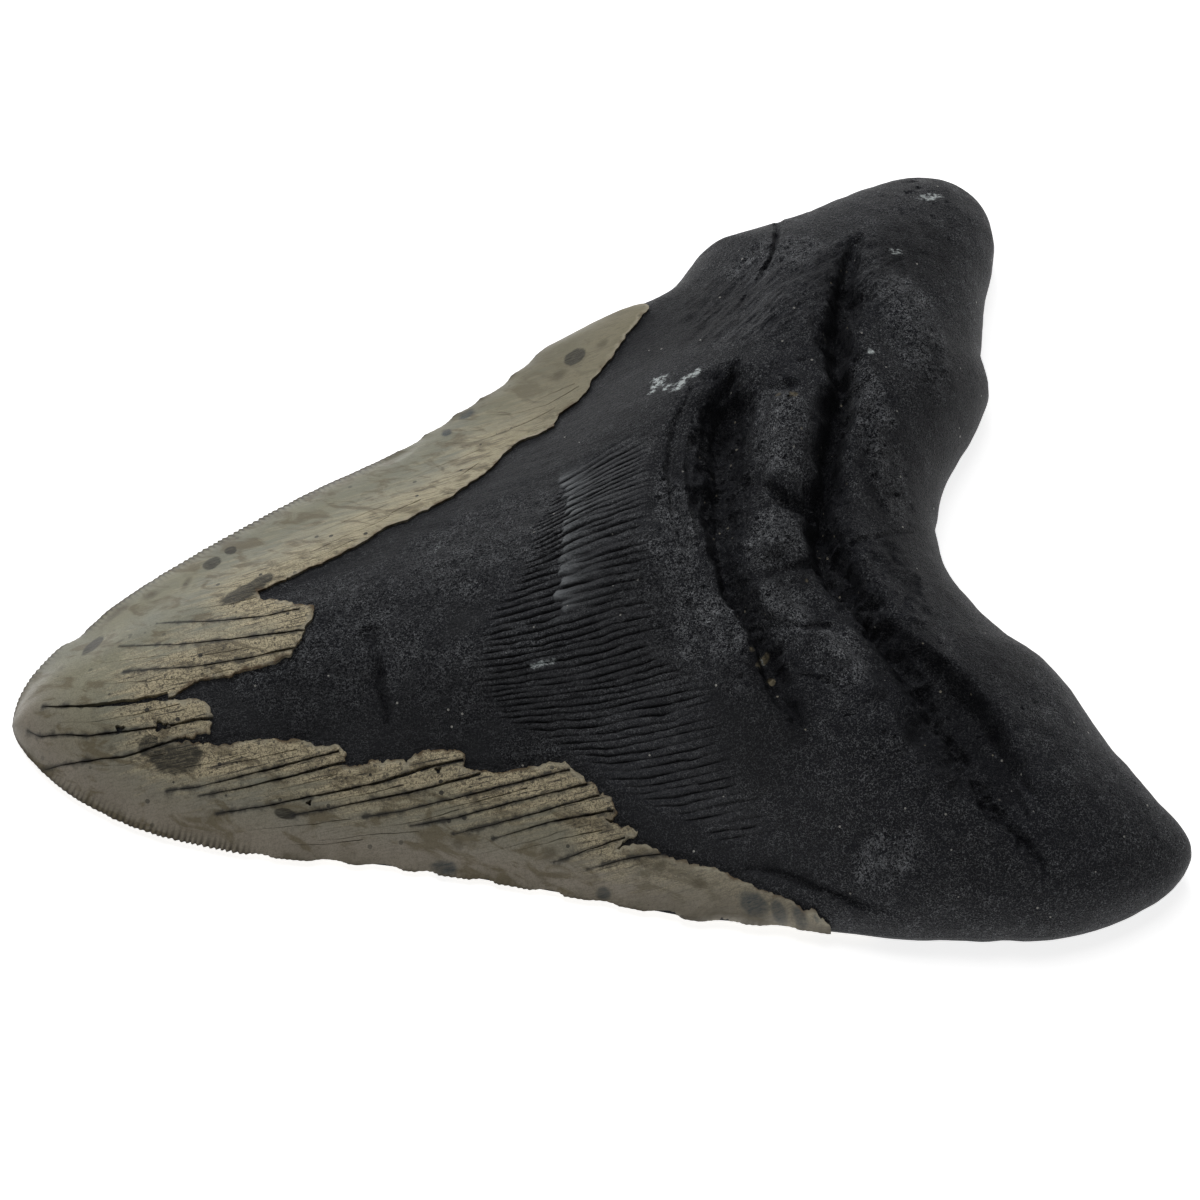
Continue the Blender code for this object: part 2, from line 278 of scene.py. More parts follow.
# Courses of (x, y, half width, depth, lean). A depth below zero is a ridge. A lean above zero
# makes the wall on the left of the course steeper, as seen by someone who walks along it.
OUTER_GROOVE = [
    (43.8, 37.4, 0.8, 0.3, 0), (41.9, 34.4, 2.2, 2.0, 0), (39.4, 29.0, 3.2, 4.0, 0),
    (37.0, 22.8, 3.6, 4.8, 0), (35.3, 15.2, 3.2, 5.0, 0), (33.4, 10.2, 3.0, 5.0, 0),
    (31.4, 6.0, 3.0, 5.2, 0), (29.7, 1.9, 3.3, 5.6, 0), (28.6, -1.7, 3.6, 5.6, 0),
    (28.6, -5.0, 3.8, 5.4, 0), (29.3, -8.8, 3.6, 5.2, 0), (30.4, -12.8, 3.2, 4.6, 0),
    (32.2, -16.6, 2.8, 3.4, 0), (34.4, -22.8, 2.4, 2.4, 0), (36.4, -31.0, 1.6, 1.8, 0),
    (38.6, -37.4, 1.5, 2.0, 0), (41.0, -41.4, 1.2, 1.2, 0), (43.0, -44.4, 0.7, 0.2, 0),
]
INNER_GROOVE = [
    (25.0, 20.9, 1.2, 0.8, 0), (23.6, 18.6, 3.6, 4.6, 0), (22.6, 14.8, 5.6, 6.2, 0),
    (21.0, 10.4, 6.4, 5.6, -0.05), (19.2, 5.2, 5.8, 4.6, -0.2), (17.9, 0.4, 4.4, 4.0, -0.3),
    (17.2, -4.2, 3.4, 3.9, -0.35), (17.8, -8.8, 3.0, 3.8, -0.35), (18.5, -12.6, 2.7, 3.4, -0.3),
    (19.3, -16.8, 2.4, 2.8, -0.2), (20.1, -21.0, 2.0, 1.7, 0), (21.4, -25.6, 0.9, 0.3, 0),
]
GROOVES = [OUTER_GROOVE, INNER_GROOVE]
SOFT_HOLLOWS = {
    "outer hollow": [
        (32.0, -14.6, 2.6, 1.0, 0.5), (35.0, -19.4, 4.6, 2.6, 0.62), (38.0, -24.0, 5.8, 3.6, 0.66),
        (40.2, -29.2, 6.0, 3.6, 0.66), (40.9, -33.2, 5.0, 2.8, 0.6), (40.4, -37.0, 2.4, 0.9, 0.4),
    ],
    "inner terrace": [
        (19.0, 17.0, 2.0, 0.5), (15.3, 9.5, 3.4, 1.4), (13.8, 4.5, 3.2, 1.4), (14.2, -0.5, 2.4, 0.6),
    ],
    "terrace line": [
        (19.6, 19.6, 0.5, 0.3), (16.9, 15.4, 0.7, 0.6), (15.0, 10.0, 0.8, 0.8),
        (14.1, 4.6, 0.8, 0.8), (13.8, -1.0, 0.7, 0.6), (14.2, -5.8, 0.5, 0.3),
    ],
    "terrace lip": [
        (18.6, 15.6, 0.6, -0.4), (16.3, 9.8, 0.7, -0.7), (15.3, 4.2, 0.7, -0.7), (15.0, -1.4, 0.6, -0.5),
    ],
    "lump": [
        (30.1, 18.6, 2.6, -0.4), (28.9, 13.4, 3.6, -1.2), (27.6, 8.6, 4.2, -1.8), (26.0, 4.8, 2.8, -1.2),
    ],
    "lower ridge": [
        (19.6, -6.4, 1.8, -0.6), (21.8, -11.6, 2.2, -1.4), (24.9, -16.6, 2.6, -1.7),
        (28.6, -22.4, 2.0, -1.0),
    ],
    "middle lump": [(21.6, -4.6, 1.6, -0.6), (23.8, -2.6, 2.2, -1.1), (25.2, -1.6, 1.4, -0.6)],
    "middle step": [(22.0, -7.0, 0.5, 0.3), (24.8, -6.6, 0.8, 0.7), (26.6, -5.8, 0.8, 0.8)],
    "ridge crack": [
        (19.4, -10.4, 0.4, 0.2), (21.1, -13.2, 0.6, 0.7), (23.4, -14.9, 0.6, 0.7), (26.2, -14.4, 0.5, 0.6),
    ],
    "ridge notch": [(22.3, -19.2, 0.5, 0.3), (24.6, -20.6, 0.7, 0.6), (26.0, -22.6, 0.5, 0.3)],
    "wall ledge": [
        (28.4, -3.4, 0.5, -0.4), (30.2, -8.0, 0.7, -0.8), (30.6, -11.4, 0.6, -0.8), (31.6, -14.0, 0.4, -0.3),
    ],
    "wall ledge's foot": [(31.9, -6.6, 0.5, 0.3), (32.4, -10.0, 0.6, 0.6), (33.0, -13.4, 0.5, 0.4)],
    "hollow step": [
        (33.4, -26.6, 0.6, -0.3), (35.6, -30.2, 0.9, -0.7), (37.6, -34.8, 0.9, -0.7),
        (39.4, -38.0, 0.6, -0.3),
    ],
    "cross crack": [(24.0, 3.9, 0.6, 0.5), (25.6, 1.6, 1.1, 1.7), (27.8, 0.6, 1.1, 1.8)],
    "far crack": [
        (36.4, 45.0, 0.4, 0.4), (34.1, 38.6, 0.55, 1.1), (32.6, 36.0, 0.55, 1.0), (30.6, 33.7, 0.4, 0.4),
    ],
    "far crack's end": [(29.3, 32.4, 0.4, 0.4), (28.4, 31.3, 0.4, 0.5)],
    "far crest": [
        (42.9, 31.6, 2.6, -0.2), (45.2, 26.4, 3.6, -0.5), (47.4, 20.4, 3.6, -0.5), (48.2, 14.6, 3.0, -0.2),
    ],
    "near ledge": [
        (13.5, -33.2, 0.6, 0.4), (16.1, -34.7, 0.8, 1.0), (21.0, -39.0, 0.8, 1.1),
        (27.9, -43.6, 0.7, 0.8), (33.0, -45.2, 0.5, 0.3),
    ],
    "plate crack": [(31.6, -4.2, 0.4, 0.3), (35.0, -3.1, 0.45, 0.35), (39.0, -1.7, 0.35, 0.2)],
    "dent": [(-20.3, -0.5, 0.6, 0.3), (-20.4, -5.2, 0.8, 0.6), (-20.4, -9.6, 0.6, 0.3)],
    "round pit": [(32.4, -27.0, 2.6, 1.5), (32.5, -27.2, 2.6, 1.5)],
    "small pit": [(28.3, 15.6, 1.2, 0.9), (29.8, 15.5, 1.2, 1.0)],
    "far pit": [(41.5, 26.9, 0.9, 0.6), (41.7, 26.7, 0.9, 0.6)],
    "dimple": [(8.3, -17.0, 1.8, 0.6), (8.4, -17.2, 1.8, 0.6)],
}
print("hollows:", len(GROOVES) + len(SOFT_HOLLOWS))


# %% Helpers that turn tables into heights
def smooth_step(low, high, value):
    """0 below the low end, 1 above the high one, and a soft slope between."""
    t = np.clip((value - low) / (high - low), 0.0, 1.0)
    return t * t * (3 - 2 * t)


def profile(table, value):
    """A smooth curve through a short table of (place, size)."""
    place, size = np.array(table, float).T
    slope = np.gradient(size, place)
    i = np.clip(np.searchsorted(place, value, side="right") - 1, 0, len(place) - 2)
    gap = place[i + 1] - place[i]
    t = (value - place[i]) / gap
    low = (2 * t**3 - 3 * t**2 + 1) * size[i] + (t**3 - 2 * t**2 + t) * gap * slope[i]
    return low + (3 * t**2 - 2 * t**3) * size[i + 1] + (t**3 - t**2) * gap * slope[i + 1]


def nearest_on(start, end, points):
    """How far along a straight piece the nearest place to each point is, and its distance."""
    piece = end - start
    along = np.clip((points - start) @ piece / max(piece @ piece, 1e-12), 0.0, 1.0)
    return along, np.linalg.norm(points - start - along[..., None] * piece, axis=-1)


def densely(line, gap):
    """The same line with a point every gap along it."""
    line = np.array(line, float)
    count = max(2, round(length_of(line) / gap))
    return at_fraction(line, np.linspace(0, 1, count))


# How close the points of a line stand, in mm, when the way to it is measured.
CLOSE = 0.1


def search_tree(points):
    """A tree that finds the nearest of many points fast."""
    tree = KDTree(len(points))
    for number, (x, y) in enumerate(points):
        tree.insert((x, y, 0.0), number)
    tree.balance()
    return tree


def distance_to(line, points):
    """How far each point is from a line of corners."""
    tree = search_tree(densely(line, CLOSE))
    flat = points.reshape(-1, 2)
    found = [tree.find((x, y, 0.0))[2] for x, y in flat.tolist()]
    return np.array(found).reshape(points.shape[:-1])


print("height of the dome's top in mm:", round(float(profile(DOME_HEIGHT, 0.72)), 1))

# %% [markdown]
# ## Roughness worked out in code
#
# Fossil surfaces are never even, so heights need a random part that is smooth and that comes
# out the same on every run. Blender has noise textures for materials, but a shape that casts
# its own shadow has to be in the mesh. This small noise gives each corner of a grid a number
# from a fixed formula, and blends between them.

# %% Soft noise
# The formula's numbers only have to be uneven: they scatter the heights of the corners.
MIXER = np.array([127.1, 311.7])
SEED_STEP = 17.3
SPREAD = 43758.5453
FINER = 2.03
LAYER_TURN = np.array([[0.8, 0.6], [-0.6, 0.8]])


def soft_noise(places, seed):
    """Smooth heights from -1 to 1 at 2-D places, with about one bump a unit."""
    cell = np.floor(places)
    part = places - cell
    part = part * part * (3 - 2 * part)
    total = np.zeros(places.shape[:-1])
    for corner in itertools.product((False, True), repeat=2):
        raw = np.sin((cell + np.array(corner)) @ MIXER + seed * SEED_STEP) * SPREAD
        weight = np.prod(np.where(corner, part, 1 - part), axis=-1)
        total = total + weight * (raw - np.floor(raw))
    return 2 * total - 1


def rough(places, seed, layers=4, fall=0.5):
    """Layers of soft noise, each twice as fine and weaker by the fall."""
    total = np.zeros(places.shape[:-1])
    for layer in range(layers):
        total = total + fall**layer * soft_noise(places, seed + layer)
        places = FINER * places @ LAYER_TURN
    return total


def paired(a, b):
    """Two arrays as one array of pairs."""
    return np.stack(np.broadcast_arrays(a, b), axis=-1)


print("noise at three corners:", soft_noise(np.array([[0, 0], [1, 0], [2, 0]]), 1).round(2))

# %% [markdown]
# ## Eroded grooves
#
# Water and sand cut the grooves where the root was soft. Their rims wander, and their walls
# show thin layers that run along the groove. So the distance to each course gets a little
# noise before it becomes a depth, and the steep part of the wall gets ripples along it.

# %% Depth of the hollows
GROOVE_WANDER = 0.55
SOFT_WANDER = 0.35
RIM_BUMP = 2.3
LEAN_SOFTNESS = 0.3
# A groove's bed is an open bowl and a narrower one, in these shares.
OPEN_SHARE = 0.45
NARROW_SHARE = 0.55
NARROW_REACH = 0.62
LAYER_RIPPLE = 0.24
RIPPLE_LENGTH = 4.0
RIPPLE_PITCH = 0.5
CRUMBS = 0.36
CRUMB_SIZE = 1.1


def carved(course, points, soft, wander=0.0, seed=1):
    """Depth of one hollow at each point, with a rim that wanders and layered walls."""
    course = np.array([(*row, 0.0)[:5] for row in course], float)
    depth = np.zeros(points.shape[:-1])
    offset = 0.0
    wobble = wander * rough(points / RIM_BUMP, seed, layers=3, fall=0.6)
    for a, b in zip(course, course[1:]):
        along, gap = nearest_on(a[:2], b[:2], points)
        half_width, deepest, lean = (a[i] + along * (b[i] - a[i]) for i in (2, 3, 4))
        step = b[:2] - a[:2]
        left = step[0] * (points[..., 1] - a[1]) - step[1] * (points[..., 0] - a[0])
        side = np.tanh(left / np.linalg.norm(step) / LEAN_SOFTNESS)
        share = np.clip((gap + wobble) / (half_width * (1 - lean * side)), 0.0, 1.0)
        if soft:
            cut = deepest * (1 - share**2) ** 2
        else:
            bowl = OPEN_SHARE * (1 - smooth_step(0.0, 1.0, share))
            bowl = bowl + NARROW_SHARE * (1 - smooth_step(0.0, NARROW_REACH, share))
            run = offset + along * np.linalg.norm(step)
            ripple = rough(paired(run / RIPPLE_LENGTH, gap / RIPPLE_PITCH), seed + 9, layers=2)
            cut = deepest * bowl + LAYER_RIPPLE * ripple * 4 * bowl * (1 - bowl)
        offset += np.linalg.norm(step)
        depth = np.where(np.abs(cut) > np.abs(depth), cut, depth)
    return depth


def all_hollows(points, wander):
    """Depth of all the hollows together, with crumbs in the deep ones."""
    depth = np.zeros(points.shape[:-1])
    for number, course in enumerate(GROOVES):
        depth = depth + carved(course, points, False, wander, seed=20 + number)
    crumbs = CRUMBS * rough(points / CRUMB_SIZE, 30, layers=3, fall=0.65)
    crumbs = crumbs * smooth_step(0.5, 2.4, depth)
    for number, course in enumerate(SOFT_HOLLOWS.values()):
        depth = depth + carved(course, points, True, SOFT_WANDER * wander, seed=40 + number)
    return depth + crumbs


groove_bed = np.array(OUTER_GROOVE)[:, :2]
print("outer groove's depth in mm:", round(float(carved(OUTER_GROOVE, groove_bed, False).max()), 1))

# %% The two faces without fine detail
CROWN_FALL = 1.6
ROOT_FLATNESS = 2.8
ROOT_FALL = 0.85
# The near side of the root is flatter on top and rounds down later.
NEAR_FLATTER = 1.2
NEAR_FALLS_LESS = 0.3
END_ROLL_START = 0.82
END_ROLL_LENGTH = 0.18


def dome_height(u, v):
    """Height of the inner face before anything is cut into it."""
    across = 2 * v - 1
    side = np.abs(across)
    near = smooth_step(-0.4, 0.4, across)
    root = smooth_step(0.55, 0.8, u)
    crown_dome = (1 - side**2) ** CROWN_FALL
    root_dome = (1 - side ** (ROOT_FLATNESS + NEAR_FLATTER * near)) ** (ROOT_FALL - NEAR_FALLS_LESS * near)
    roll = np.sqrt(1 - np.clip((u - END_ROLL_START) / END_ROLL_LENGTH, 0, 1) ** 3)
    dome = (crown_dome * (1 - root) + root_dome * root) * roll
    return profile(RIM_HEIGHT, u) + profile(DOME_HEIGHT, u) * dome


def under_height(u, points, rim_gap):
    """Height of the flatter face below, which rounds up to the rim."""
    root = smooth_step(0.6, 0.85, u)
    undercut = CROWN_UNDERCUT + (ROOT_UNDERCUT - CROWN_UNDERCUT) * root
    outward = 1 - np.clip(rim_gap / undercut, 0, 1)
    centre_x, centre_y, reach_x, reach_y, rise = UNDER_HOLLOW
    x, y = points[..., 0], points[..., 1]
    away = ((x - centre_x) / reach_x) ** 2 + ((y - centre_y) / reach_y) ** 2
    hollow = rise * np.clip(1 - away, 0, 1) ** 2 * smooth_step(0.0, undercut, rim_gap)
    return profile(RIM_HEIGHT, u) * (1 - np.sqrt(1 - outward**2)) + hollow


print("dome at 0.6 along, on the middle line, in mm:", round(float(dome_height(0.6, 0.5)), 1))

# %% [markdown]
# ## Wrinkles between crown and root
#
# Where the enamel once ended, the dentine is folded into a band of fine ridges that run along
# the tooth. The upper ones end in rounded fingers, like the torn edge of a thin layer. A
# ridge is flat on top with a thin valley beside it. Its borders are three tables across the
# tooth: where the ridges start, where the fingers end, and where the ridges fade out.

# %% The band of wrinkles
BAND_ACROSS = [0.30, 0.33, 0.37, 0.42, 0.46, 0.51, 0.55, 0.60, 0.65, 0.72, 0.78, 0.83, 0.87, 0.92]
BAND_START = [0.59, 0.578, 0.563, 0.563, 0.572, 0.56, 0.53, 0.505, 0.49, 0.485, 0.54, 0.565, 0.60, 0.63]
FINGER_LINE = [0.582, 0.583, 0.594, 0.607, 0.616, 0.617, 0.609, 0.60, 0.59, 0.60, 0.61, 0.62, 0.63, 0.64]
BAND_END = [0.66, 0.665, 0.675, 0.69, 0.70, 0.705, 0.70, 0.68, 0.66, 0.66, 0.67, 0.675, 0.68, 0.685]
ALONG_MM = 124.0
ACROSS_MM = 83.0
FINGER_PITCH = 1.25
FINE_PITCH = 0.84
RIDGE_DEPTH = 0.40
FINE_SHARE = 0.85
FINGER_LIFT = 0.36
FINGER_REACH = 3.4
HIGHLIGHT_REACH = 2.0
FINGER_JITTER = 0.9
FINGER_ROUNDING = 0.55
VALLEY_WIDTH = 0.14
ROUND_TOP = 0.30
BEND = 0.12
BEND_START = 0.58


def ridge_valleys(along, across, pitch, seed):
    """How deep each valley between ridges is, from 0 to 1, and where in its ridge a point is."""
    wander = 0.25 * soft_noise(paired(along / 6.0, across / 2.5), seed)
    wander = wander + 0.13 * soft_noise(paired(along / 1.7, across / 1.3), seed + 1)
    phase = across / pitch + wander
    valley = np.round(phase)
    gap = np.abs(phase - valley)
    strength = 0.74 + 0.5 * soft_noise(paired(along / 2.6, valley * 7.3), seed + 2)
    round_top = ROUND_TOP * (1 - 2 * gap) ** 2
    return np.clip(strength, 0.2, 1.0) * (np.exp(-((gap / VALLEY_WIDTH) ** 2)) + round_top), phase


def wrinkles(u, v):
    """Height of the wrinkled band, with its share, its valleys and where its finger tips get a painted
    highlight, from 0 to 1.
    """
    start, fingers, end = (
        np.interp(v, BAND_ACROSS, table) for table in (BAND_START, FINGER_LINE, BAND_END)
    )
    bend = BEND * np.clip(u - BEND_START, 0, None) * smooth_step(0.58, 0.42, v)
    across = (v + bend) * ACROSS_MM
    along = u * ALONG_MM
    ends = smooth_step(0.30, 0.34, v) * smooth_step(0.93, 0.89, v)
    fine, _ = ridge_valleys(along, across, FINE_PITCH, 3)
    wide, phase = ridge_valleys(along, across, FINGER_PITCH, 6)
    number = np.floor(phase)
    in_ridge = phase - number
    jitter = FINGER_JITTER * soft_noise(paired(number * 3.7, number * 0.0), 11)
    rounding = FINGER_ROUNDING * FINGER_PITCH * (1 - np.sqrt(1 - (2 * in_ridge - 1) ** 2 * 0.98))
    beyond = (u - fingers) * ALONG_MM - jitter - rounding
    fingered = smooth_step(0.60, 0.55, v)
    on_fingers = smooth_step(-0.05, 0.3, beyond)
    started = smooth_step(0.0, 0.03, u - start)
    fade_out = smooth_step(0.012, -0.03, u - end)
    before = started * (1 - on_fingers * fingered) * smooth_step(0.03, -0.01, u - end)
    before = before * smooth_step(0.80, 0.72, v) * ends
    after = on_fingers * fingered + started * (1 - fingered) * smooth_step(0.70, 0.76, v)
    after = after * fade_out * ends
    tips = on_fingers * fingered * ends * fade_out
    past_tip = np.clip(beyond, 0, None)
    near_tips = tips * np.exp(-((past_tip / FINGER_REACH) ** 2))
    height = FINGER_LIFT * near_tips
    folds = wide * near_tips + FINE_SHARE * fine * (1 - near_tips)
    height = height - RIDGE_DEPTH * (FINE_SHARE * fine * before + folds * after)
    # The finger tips get a pale painted highlight in the finish.
    highlit_tips = tips * np.exp(-past_tip / HIGHLIGHT_REACH) * (1 - np.clip(wide, 0, 1))
    return height, np.maximum(before, after), np.maximum(fine * before, folds * after), highlit_tips


print("ridges across the band:", round(ACROSS_MM * (BAND_ACROSS[-1] - BAND_ACROSS[0]) / FINE_PITCH))

# %% [markdown]
# ## Fine relief of the root and the bare dentine
#
# The root is porous bone. It has shallow swells a few millimetres wide, small pits, and a
# grain like worn leather. The bare dentine of the crown is smoother, with faint lines along
# the tooth. The finest grain is left to the material, as each dent is under 0.3 mm.

# %% Where the bone is worn
# Places where the bone is worn to a coarse, pocked skin, which the finish also paints lighter,
# partly as painted highlight on the lumps: x, y, reach along and across.
POCKED = [
    (10.0, -7.0, 7.0, 12.0), (15.4, -13.0, 2.6, 7.5), (27.6, 9.6, 4.6, 8.5), (23.2, -3.0, 4.0, 5.0),
    (22.2, -12.0, 3.2, 5.5), (26.4, -18.4, 3.4, 5.0), (26.4, -38.4, 4.0, 2.8), (45.6, 22.0, 4.5, 10.0),
    (14.0, 3.0, 2.4, 9.0), (33.6, 36.8, 7.0, 4.0), (38.0, 8.0, 3.0, 12.0), (-24.0, 0.5, 14.0, 11.0),
    (-8.0, -8.0, 14.0, 6.0), (-2.0, -14.0, 10.0, 4.0), (-5.0, 6.5, 14.0, 9.0),
]
FOLDED = (23.6, -1.6, 3.6, 5.0)
# The far upper root, worn into slanting lines.
SLANTED = [(29.5, 30.0, 9.5, 9.5), (41.0, 31.0, 8.0, 7.0)]
SLANT = np.array([[0.86, -0.51], [0.51, 0.86]])
# Deep places painted darker as painted shade, in the same terms.
DEEP_SHADE_PLACES = [
    (21.6, 13.6, 3.4, 6.5), (18.4, 5.0, 3.6, 8.0), (30.6, 3.0, 3.0, 12.0), (29.6, -7.0, 2.6, 7.0),
    (34.6, -18.6, 4.0, 5.5), (38.6, -26.0, 4.2, 8.0), (35.0, -28.0, 5.0, 8.0), (38.8, 29.4, 2.8, 8.0),
    (19.2, -15.4, 2.4, 7.5), (20.4, -23.0, 2.4, 3.6), (-20.3, -0.6, 1.0, 1.4), (-20.1, -5.2, 0.7, 4.4),
]
# Places painted a little darker than the rest, as painted shade, in the same terms.
SHADED = [
    (21.7, 33.0, 9.0, 8.0), (50.0, 10.0, 9.0, 16.0), (39.5, -2.0, 6.5, 16.0), (-9.0, -12.0, 13.0, 6.0),
    (16.5, -21.5, 7.0, 8.0), (23.6, -6.8, 3.5, 3.5), (44.0, -16.0, 6.0, 9.0), (-27.0, -5.2, 9.0, 4.6),
    (-15.0, -9.6, 10.0, 4.6), (6.0, -6.0, 7.0, 9.0), (49.0, 34.0, 6.0, 6.0),
]
# A step that runs down the dentine, with a low mound beside it: x, y, reach along x and y, rise.
DENTED = [
    (-20.3, -0.4, 1.2, 1.5, -0.50), (-19.9, -3.2, 1.0, 2.2, -0.34), (-20.1, -6.6, 0.8, 3.4, -0.30),
    (-17.0, -2.0, 4.6, 3.4, 0.42),
]
# Places with knobs a few millimetres wide, in the same terms.
RUGGED = [
    (25.5, -38.5, 7.0, 4.5), (34.5, -10.0, 4.5, 9.0), (21.0, 11.0, 3.6, 7.0), (33.0, -30.0, 6.0, 6.0),
    (36.0, 14.0, 2.6, 16.0), (17.0, -12.0, 3.0, 7.0),
]


def in_patches(points, patches):
    """1 in the middle of any patch, fading to 0 at its border."""
    share = np.zeros(points.shape[:-1])
    for x, y, reach_x, reach_y in patches:
        away = ((points[..., 0] - x) / reach_x) ** 2 + ((points[..., 1] - y) / reach_y) ** 2
        share = np.maximum(share, np.clip(1 - away, 0, 1))
    return smooth_step(0.0, 0.7, share)


print("worn places:", len(POCKED + RUGGED + SLANTED + DENTED))

# %% Heights of the relief
# Each kind of roughness: height in mm, size of its bumps in mm along and across, its seed,
# how many layers it has, and how much weaker each layer is than the one before.
SWELLS = (0.22, (7.0, 7.0), 60, 3, 0.5)
GRAIN_BUMPS = (1.0, (1.15, 1.15), 64, 3, 0.65)
KNOBS = (0.42, (2.4, 2.4), 68, 3, 0.6)
FOLDS = (0.16, (4.5, 0.62), 73, 2, 0.5)
SLANT_LINES = (0.13, (3.0, 0.55), 77, 3, 0.6)
CROWN_LINES = (0.05, (6.0, 0.55), 75, 2, 0.5)
CROWN_SWELLS = (0.10, (6.0, 6.0), 80, 2, 0.5)
CROWN_GRAIN = (0.03, (0.9, 0.9), 83, 2, 0.5)
GRAIN_HIGH = 0.055
POCKED_GRAIN_HIGH = 0.105
PIT_DEPTH = 0.34
PIT_SIZE = 0.85
PITTED_SHARE = 0.8
PITTED_PATCH = 9.0
RAG = 0.35
RAG_SIZE = 1.6
CROWN_TURN = np.array([[1.0, 0.09], [-0.09, 1.0]])


def layered(points, kind):
    """One kind of roughness at each point."""
    height, size, seed, layers, fall = kind
    return height * rough(points / np.array(size), seed, layers, fall)


def bone_relief(u, points):
    """Height of the swells, grain, pits and lines."""
    root = smooth_step(0.60, 0.72, u)
    pocked = in_patches(points, POCKED)
    swells = layered(points, SWELLS) + in_patches(points, RUGGED) * layered(points, KNOBS)
    grain = (GRAIN_HIGH + POCKED_GRAIN_HIGH * pocked) * layered(points, GRAIN_BUMPS)
    pits = -PIT_DEPTH * smooth_step(0.62, 0.93, soft_noise(points / PIT_SIZE, 70))
    pitted = PITTED_SHARE * smooth_step(0.1, 0.6, soft_noise(points / PITTED_PATCH, 71))
    folds = in_patches(points, [FOLDED]) * layered(points, FOLDS)
    folds = folds + in_patches(points, SLANTED) * layered(points @ SLANT, SLANT_LINES)
    crown = layered(points, CROWN_SWELLS) + layered(points, CROWN_GRAIN)
    ragged = points + RAG * paired(*(soft_noise(points / RAG_SIZE, seed) for seed in (85, 86)))
    for *patch, rise in DENTED:
        crown = crown + rise * in_patches(ragged, [patch])
    crown = crown + layered(points @ CROWN_TURN, CROWN_LINES)
    return root * (swells + grain + pits * np.maximum(pitted, pocked) + folds) + (1 - root) * crown


mid_root = np.array([20.0, 0.0])
print("relief in the middle of the root in mm:", round(float(bone_relief(0.8, mid_root)), 2))

# %% [markdown]
# ## The body: root and bare dentine
#
# The body could be sculpted by hand, but a form with a table behind it can be checked and
# changed. Each face starts as a flat grid of quads, and every crossing is moved to its place.
# The grid's lines stand closer together where the wrinkles and the grooves are. The two faces
# share their rim, so once the doubles are merged the body is closed.

# %% Lines of the grid
BODY_ALONG = 430
BODY_ACROSS = 470


def graded(count, table):
    """Places from 0 to 1, closer together where the table of (place, closeness) says so."""
    fine = np.linspace(0, 1, 4001)
    place, closeness = np.array(table, float).T
    crowd = np.cumsum(np.interp(fine, place, closeness))
    crowd = (crowd - crowd[0]) / (crowd[-1] - crowd[0])
    return np.interp(np.linspace(0, 1, count + 1), crowd, fine)


body_u = graded(BODY_ALONG, [(0, 1.0), (0.1, 2.0), (0.5, 3.0), (0.6, 3.6), (0.7, 4.0), (1, 4.4)])
body_v = graded(BODY_ACROSS, [
    (0, 2.4), (0.02, 1.6), (0.28, 1.8), (0.34, 3.6), (0.6, 3.6), (0.85, 2.8), (0.92, 1.8),
    (0.98, 1.8), (1, 2.4),
])
U, V = np.meshgrid(body_u, body_v, indexing="ij")
ground = plan(U, V)
RIM_LOOP = np.concatenate([OUTLINE, OUTLINE[:1]])
rim_gap = distance_to(RIM_LOOP, ground)
on_rim = (U == 0) | (U == 1) | (V == 0) | (V == 1)
rim_gap[on_rim] = 0.0
print("crossings on each face:", U.size)

# %% [markdown]
# The enamel forms the cutting edge itself, so the body's rim stops half a millimetre short of
# it along the crown. Under the enamel on the outer face the body is raised by the same.

# %% Heights of the body
ENAMEL = 0.65
ENAMEL_THINS_OVER = 4.0
CORE_INSET = 0.5
CORE_RAISED = 0.5
STEP_RAISED = 0.35
STEP_FADES_OVER = 12
RIM_FADES_OVER = 1.2
# The enamel of the outer face ends in an arc across the tooth.
OUTER_ENAMEL_END = 16.0
OUTER_ENAMEL_ARC = 0.006
UNDER_SWELLS = (0.12, (5.0, 5.0), 90, 3, 0.5)
UNDER_GRAIN = (0.05, (1.2, 1.2), 94, 2, 0.5)


def past_arc(points):
    """How far each point is past the end of the outer face's enamel, towards the root."""
    return points[..., 0] - OUTER_ENAMEL_END - OUTER_ENAMEL_ARC * points[..., 1] ** 2


wrinkle_height, wrinkled, valleys, highlit_finger_tips = wrinkles(U, V)
body_top = dome_height(U, V) - all_hollows(ground, GROOVE_WANDER) * smooth_step(0.0, FADE, rim_gap)
off_rim = smooth_step(0.0, RIM_FADES_OVER, rim_gap)
body_top = body_top + (wrinkle_height + bone_relief(U, ground)) * off_rim

past_enamel = past_arc(ground)
bare_below = smooth_step(-0.3, 0.3, past_enamel)
step_left = STEP_RAISED * bare_below * smooth_step(STEP_FADES_OVER, 0, past_enamel)
raised = CORE_RAISED * (1 - bare_below) + step_left
under_relief = layered(ground, UNDER_SWELLS) + layered(ground, UNDER_GRAIN)
body_under = under_height(U, ground, rim_gap) + raised * off_rim
body_under = body_under + np.abs(under_relief) * off_rim
print("highest point in mm:", round(float(body_top.max()), 1))

# %% Outline of the body
RIM_ROUGHNESS = 0.16
NIBBLE_SIZE = 2.1
INSET_REACH = 2.0
NIBBLE_REACH = 1.5
MOST_INSET = 0.45

